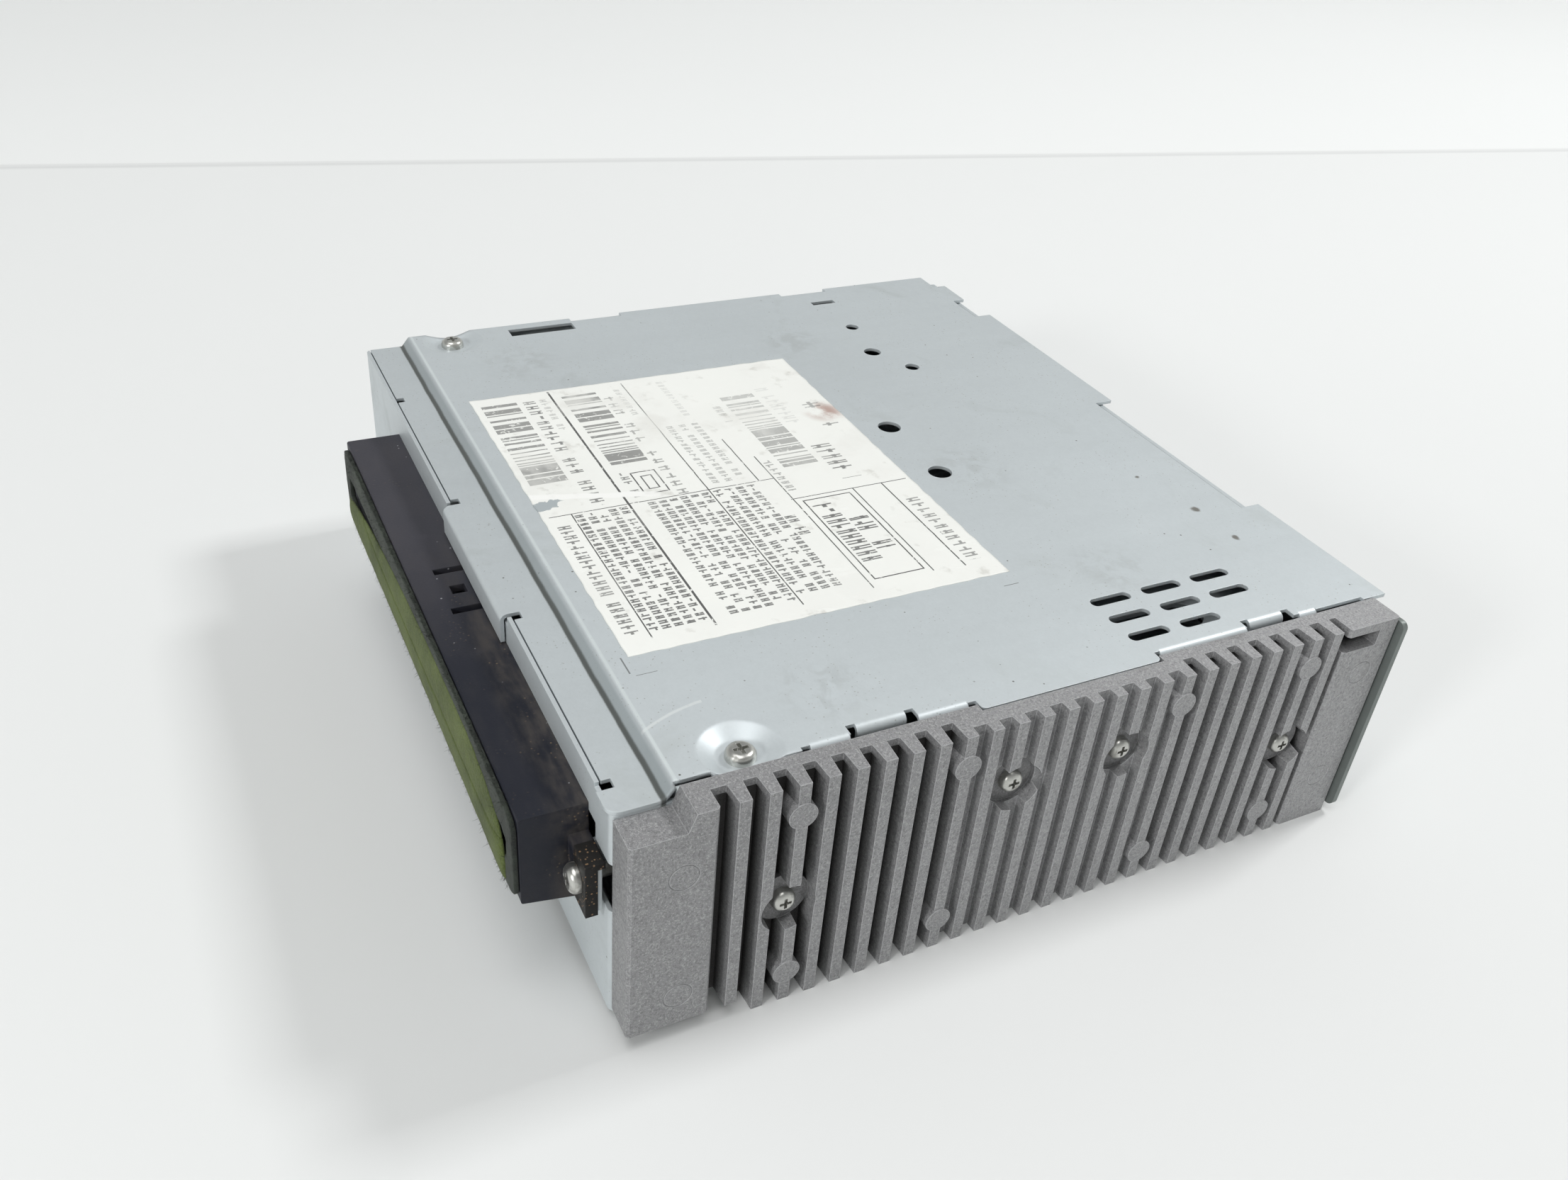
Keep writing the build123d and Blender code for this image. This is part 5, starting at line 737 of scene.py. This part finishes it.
def slotted_felt(material):
    """The felt as a rounded ring round the slot: along u a rounded rectangle's outline, across v a profile.

    The profile goes from the slot's edge over the front face to the outer edge and back behind it.
    """
    width, height = felt_high[0] - felt_low[0], felt_high[2] - felt_low[2]
    thickness = felt_high[1] - felt_low[1]
    centre = (felt_low + felt_high) / 2
    steps, across_steps = 700, 26
    angle = np.linspace(0, 2 * np.pi, steps, endpoint=False)

    def outline(half_width, half_height, middle_z):
        """A box outline as a superellipse of high power: |x/a|^n + |z/b|^n = 1."""
        power = 2 / 14
        x = np.sign(np.cos(angle)) * np.abs(np.cos(angle)) ** power * half_width
        z = np.sign(np.sin(angle)) * np.abs(np.sin(angle)) ** power * half_height
        return centre[0] + x, middle_z + z

    inner_x, inner_z = outline(slot_half_width, slot_half_height, slot_middle_z)
    outer_x, outer_z = outline(width / 2, height / 2, centre[2])
    turn = np.linspace(0, 2 * np.pi, across_steps, endpoint=False)[:, None]
    power = 2 / 6
    reach = 0.5 - 0.5 * np.sign(np.cos(turn)) * np.abs(np.cos(turn)) ** power
    rise = np.sign(np.sin(turn)) * np.abs(np.sin(turn)) ** power
    x = inner_x + (outer_x - inner_x) * reach
    z = inner_z + (outer_z - inner_z) * reach
    wave = smooth_noise(x, z, 4 * mm, 31) + 0.6 * smooth_noise(x, z, 1.3 * mm, 32)
    y = centre[1] - thickness / 2 * rise * 0.96 - np.where(rise > 0, 0.10 * mm * wave, 0)
    z = z + 0.12 * mm * smooth_noise(x, y * 0 + reach, 2 * mm, 33)
    felt = surface_mesh("slotted_felt", np.stack([x, y, z], axis=-1), closed_u=True, closed_v=True)
    shade_smooth(felt)
    return dress(felt, material, "felt", "case", "felt_pad")


def foam_lips(material):
    """The foam as two lips that meet at the slot: at each x a bulge over z, B = b (1 - ((z - m) / h)^2)^0.7.

    The lower lip stands on the felt's bottom edge. The upper one follows an arch that rises to the right
    as crest - rise s^2.4 and falls off behind its highest point. Both edges at the slit turn in.
    """
    columns, rows = 520, 26
    left, right = felt_low[0] + foam_inset, felt_high[0] - foam_inset_right
    peak = felt_low[0] + foam_peak
    x = np.linspace(left, right, columns)
    before = np.clip((peak - x) / (peak - left), 0, 1)
    after = np.clip((x - peak) / (right - peak), 0, 1)
    arch = foam_crest - foam_rise * before**2.4 - foam_fall * after**2 - 6 * mm * after**14
    floor = felt_low[2] + 0.15 * mm + 1.2 * mm * (before**20 + after**20)
    slit = np.full_like(x, slot_middle_z)
    middle, half = (arch + floor) / 2, (arch - floor) / 2
    ends = np.clip(1 - np.maximum(before, after) ** 24, 0, 1) ** 0.5
    made = []
    for name, low, high in (
        ("lower_foam_lip", floor, np.minimum(arch, slit - slit_gap / 2)),
        ("upper_foam_lip", slit + slit_gap / 2, arch),
    ):
        kept = high - low > 0.3 * mm
        s = np.linspace(0, 1, rows)[:, None]
        z = low[kept] + (high[kept] - low[kept]) * s
        across = x[kept] + 0 * s
        inside = np.clip(1 - ((z - middle[kept]) / half[kept]) ** 2, 0, 1)
        turned_in = 1 - 0.5 * np.exp(-(((z - slit[kept]) / (0.25 * mm)) ** 2))
        broad_waves = 0.06 * mm * smooth_noise(across, z, 6 * mm, 41)
        waves = broad_waves + 0.03 * mm * smooth_noise(across, z, 1.6 * mm, 42)
        bulge = (foam_bulge * inside**0.7 * turned_in + waves) * ends[kept]
        y = felt_low[1] - np.clip(bulge, 0.05 * mm, None)
        front = np.stack([across, y, z], axis=-1)
        back = np.stack([across, np.full_like(y, felt_low[1] + 0.25 * mm), z], axis=-1)
        lip = closed_slab(name, front, back)
        shade_smooth(lip)
        made.append(dress(lip, material, "foam", "case", "foam_lip"))
    return made


def fibre_fringe(name, roots, directions, lengths, thickness, seed):
    """Fibres as three-sided spikes: each bends from its root along its direction, by s and s squared."""
    draw = np.random.default_rng(seed)
    count = len(roots)
    stages = np.array([0.0, 0.5, 1.0])
    bend = draw.normal(0, 0.45, (count, 3))
    path = (
        roots[:, None] + directions[:, None] * lengths[:, None, None] * stages[None, :, None]
        + bend[:, None] * lengths[:, None, None] * (stages**2)[None, :, None]
    )
    side = np.cross(directions, draw.normal(0, 1, (count, 3)))
    side /= np.linalg.norm(side, axis=1, keepdims=True)
    other = np.cross(directions, side)
    other /= np.linalg.norm(other, axis=1, keepdims=True)
    corners = 2 * np.pi * np.arange(3) / 3
    ring = np.cos(corners)[None, :, None] * side[:, None] + np.sin(corners)[None, :, None] * other[:, None]
    width = thickness * np.array([1.0, 0.8, 0.25])
    points = path[:, :, None] + ring[:, None] * width[None, :, None, None]
    base = (np.arange(count) * 9)[:, None]
    walls = np.array([
        [3 * level + corner, 3 * level + (corner + 1) % 3, 3 * level + 3 + (corner + 1) % 3]
        for level in range(2) for corner in range(3)
    ] + [
        [3 * level + corner, 3 * level + 3 + (corner + 1) % 3, 3 * level + 3 + corner]
        for level in range(2) for corner in range(3)
    ] + [[2, 1, 0], [6, 7, 8]])
    faces = (base[:, None] + walls[None]).reshape(-1, 3)
    return mesh_of(name, points.reshape(-1, 3), faces)


def felt_fuzz(material):
    """Loose fibres along the felt's outer and inner edges and over its face."""
    draw = np.random.default_rng(51)
    width = felt_high[0] - felt_low[0]
    front = felt_low[1]
    count = 5200
    along = draw.uniform(0.03, 0.97, count)
    kind = draw.uniform(0, 1, count)
    x = felt_low[0] + width * along
    top, bottom = felt_high[2], felt_low[2]
    z = np.where(kind < 0.4, top, np.where(kind < 0.75, bottom, draw.uniform(bottom, top, count)))
    beside_middle = np.abs(x - (felt_low[0] + width / 2)) < slot_half_width
    in_slot = (np.abs(z - slot_middle_z) < slot_half_height) & beside_middle
    side = np.where(draw.uniform(0, 1, count) < 0.5, -slot_half_height, slot_half_height)
    z = np.where(in_slot, slot_middle_z + side, z)
    depth = np.where((z >= top) | (z <= bottom), 1.0, 0.1) * (felt_high[1] - front)
    y = front + draw.uniform(0.05, 0.9, count) * depth
    roots = np.stack([x, y, z], axis=1)
    lean = draw.normal(0, 0.5, (count, 3))
    upward = np.where(z >= top, 1.0, np.where(z <= bottom, -1.0, 0.0))
    heading = np.stack([np.zeros(count), np.full(count, -0.7), upward * 1.1], axis=1) + lean
    heading[:, 1] = -np.abs(heading[:, 1])
    heading /= np.linalg.norm(heading, axis=1, keepdims=True)
    lengths = draw.uniform(0.25, 0.85, count) * mm
    fuzz = fibre_fringe("felt_fuzz", roots, heading, lengths, 0.035 * mm, 52)
    fuzz.data.materials.append(material)
    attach(fuzz, "case")
    return fuzz


def dress_nodes(finishes):
    """Gives every CAD node the finish of its material slot."""
    slot_of = {entry["node"]: entry["material_slot"] for entry in frame["record"]["subparts"]}
    for node, made in frame["nodes"].items():
        made.data.materials.clear()
        made.data.materials.append(finishes[slot_of[node]])


def lay_floor():
    """The floor and backdrop: a pale sheet with a line of painted shade where the wall begins, z = sweep * (r
    - flat)^2.

    It is flat as far as r = flat and rises all round beyond it. Painted light makes it lighter further back,
    and the wall's side of the line is a little lighter.
    """
    reach = np.linspace(-floor_half, floor_half, floor_points)
    x, y = np.meshgrid(reach, reach)
    rise = floor_sweep * np.clip(np.hypot(x, y) - floor_flat, 0, None) ** 2
    floor = surface_mesh("floor", np.stack([x, y, rise], axis=-1))
    shade_smooth(floor)
    f = Finish("pale_floor")
    tone = f.noise(0.25, 3)
    beyond = (f.x * wall_normal[0] + f.y * wall_normal[1] + wall_distance) * (1 / mm)
    # Painted shade: a dark line at the foot of the wall
    line = abs(beyond).ramp(4.5, 1.5)
    # Painted light: the floor is lighter further back, where the lamps light it more
    far = (f.x * view_heading[0] + f.y * view_heading[1]).ramp(-0.15, 0.35)
    light = 0.86 + 0.075 * far + 0.02 * tone - 0.12 * line + 0.05 * (beyond < 0)
    colour = f.tint(shown(0.962, 0.967, 0.964), light)
    floor.data.materials.append(f.finished(colour, 0.6))


def light_studio():
    """A dim even world and three soft lamps: one behind, a low one in front and a wide one by the camera.

    Each has its place and its side in metres, and its power in watts.
    """
    world = bpy.data.worlds.new("studio")
    bpy.context.scene.world = world
    world.use_nodes = True
    background = world.node_tree.nodes["Background"]
    background.inputs["Color"].default_value = (0.985, 1.0, 0.995, 1.0)
    background.inputs["Strength"].default_value = 0.30
    for name, place, size, power in (
        ("behind", (-0.03, 1.31, 1.48), 0.36, 14.5),
        ("low", (0.41, -0.85, 0.47), 0.16, 2.8),
        ("wide", (0.30, -0.55, 2.60), 1.60, 24.6),
    ):
        lamp = bpy.data.lights.new(name, "AREA")
        lamp.shape = "SQUARE"
        lamp.size = size
        lamp.energy = power
        made = bpy.data.objects.new(name, lamp)
        made.location = place
        made.rotation_euler = (-Vector(place)).to_track_quat("-Z", "Y").to_euler()
        bpy.context.scene.collection.objects.link(made)


def aim_camera():
    """Places the camera by its eye, the point it looks at, and its turn about that line."""
    eye = Vector((0.2329, -0.1342, 0.1987))
    target = Vector((0.0100, -0.0105, 0.0250))
    roll = np.radians(5.22)
    lens, sensor = 30.964, 36.0
    data = bpy.data.cameras.new("camera")
    data.lens = lens
    data.sensor_width = sensor
    data.clip_start = 0.01
    made = bpy.data.objects.new("camera", data)
    turn = (target - eye).to_track_quat("-Z", "Y").to_matrix().to_4x4()
    made.matrix_world = Matrix.Translation(eye) @ turn @ Matrix.Rotation(roll, 4, "Z")
    bpy.context.scene.collection.objects.link(made)
    bpy.context.scene.camera = made


finishes = write_finishes()
dress_nodes(finishes)
worn_label(finishes["label_paper"])
slotted_felt(finishes["felt"])
for lip in foam_lips(finishes["foam"]):
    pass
felt_fuzz(finishes["felt"])
lay_floor()
light_studio()
aim_camera()
bpy.context.scene.view_settings.view_transform = "Standard"

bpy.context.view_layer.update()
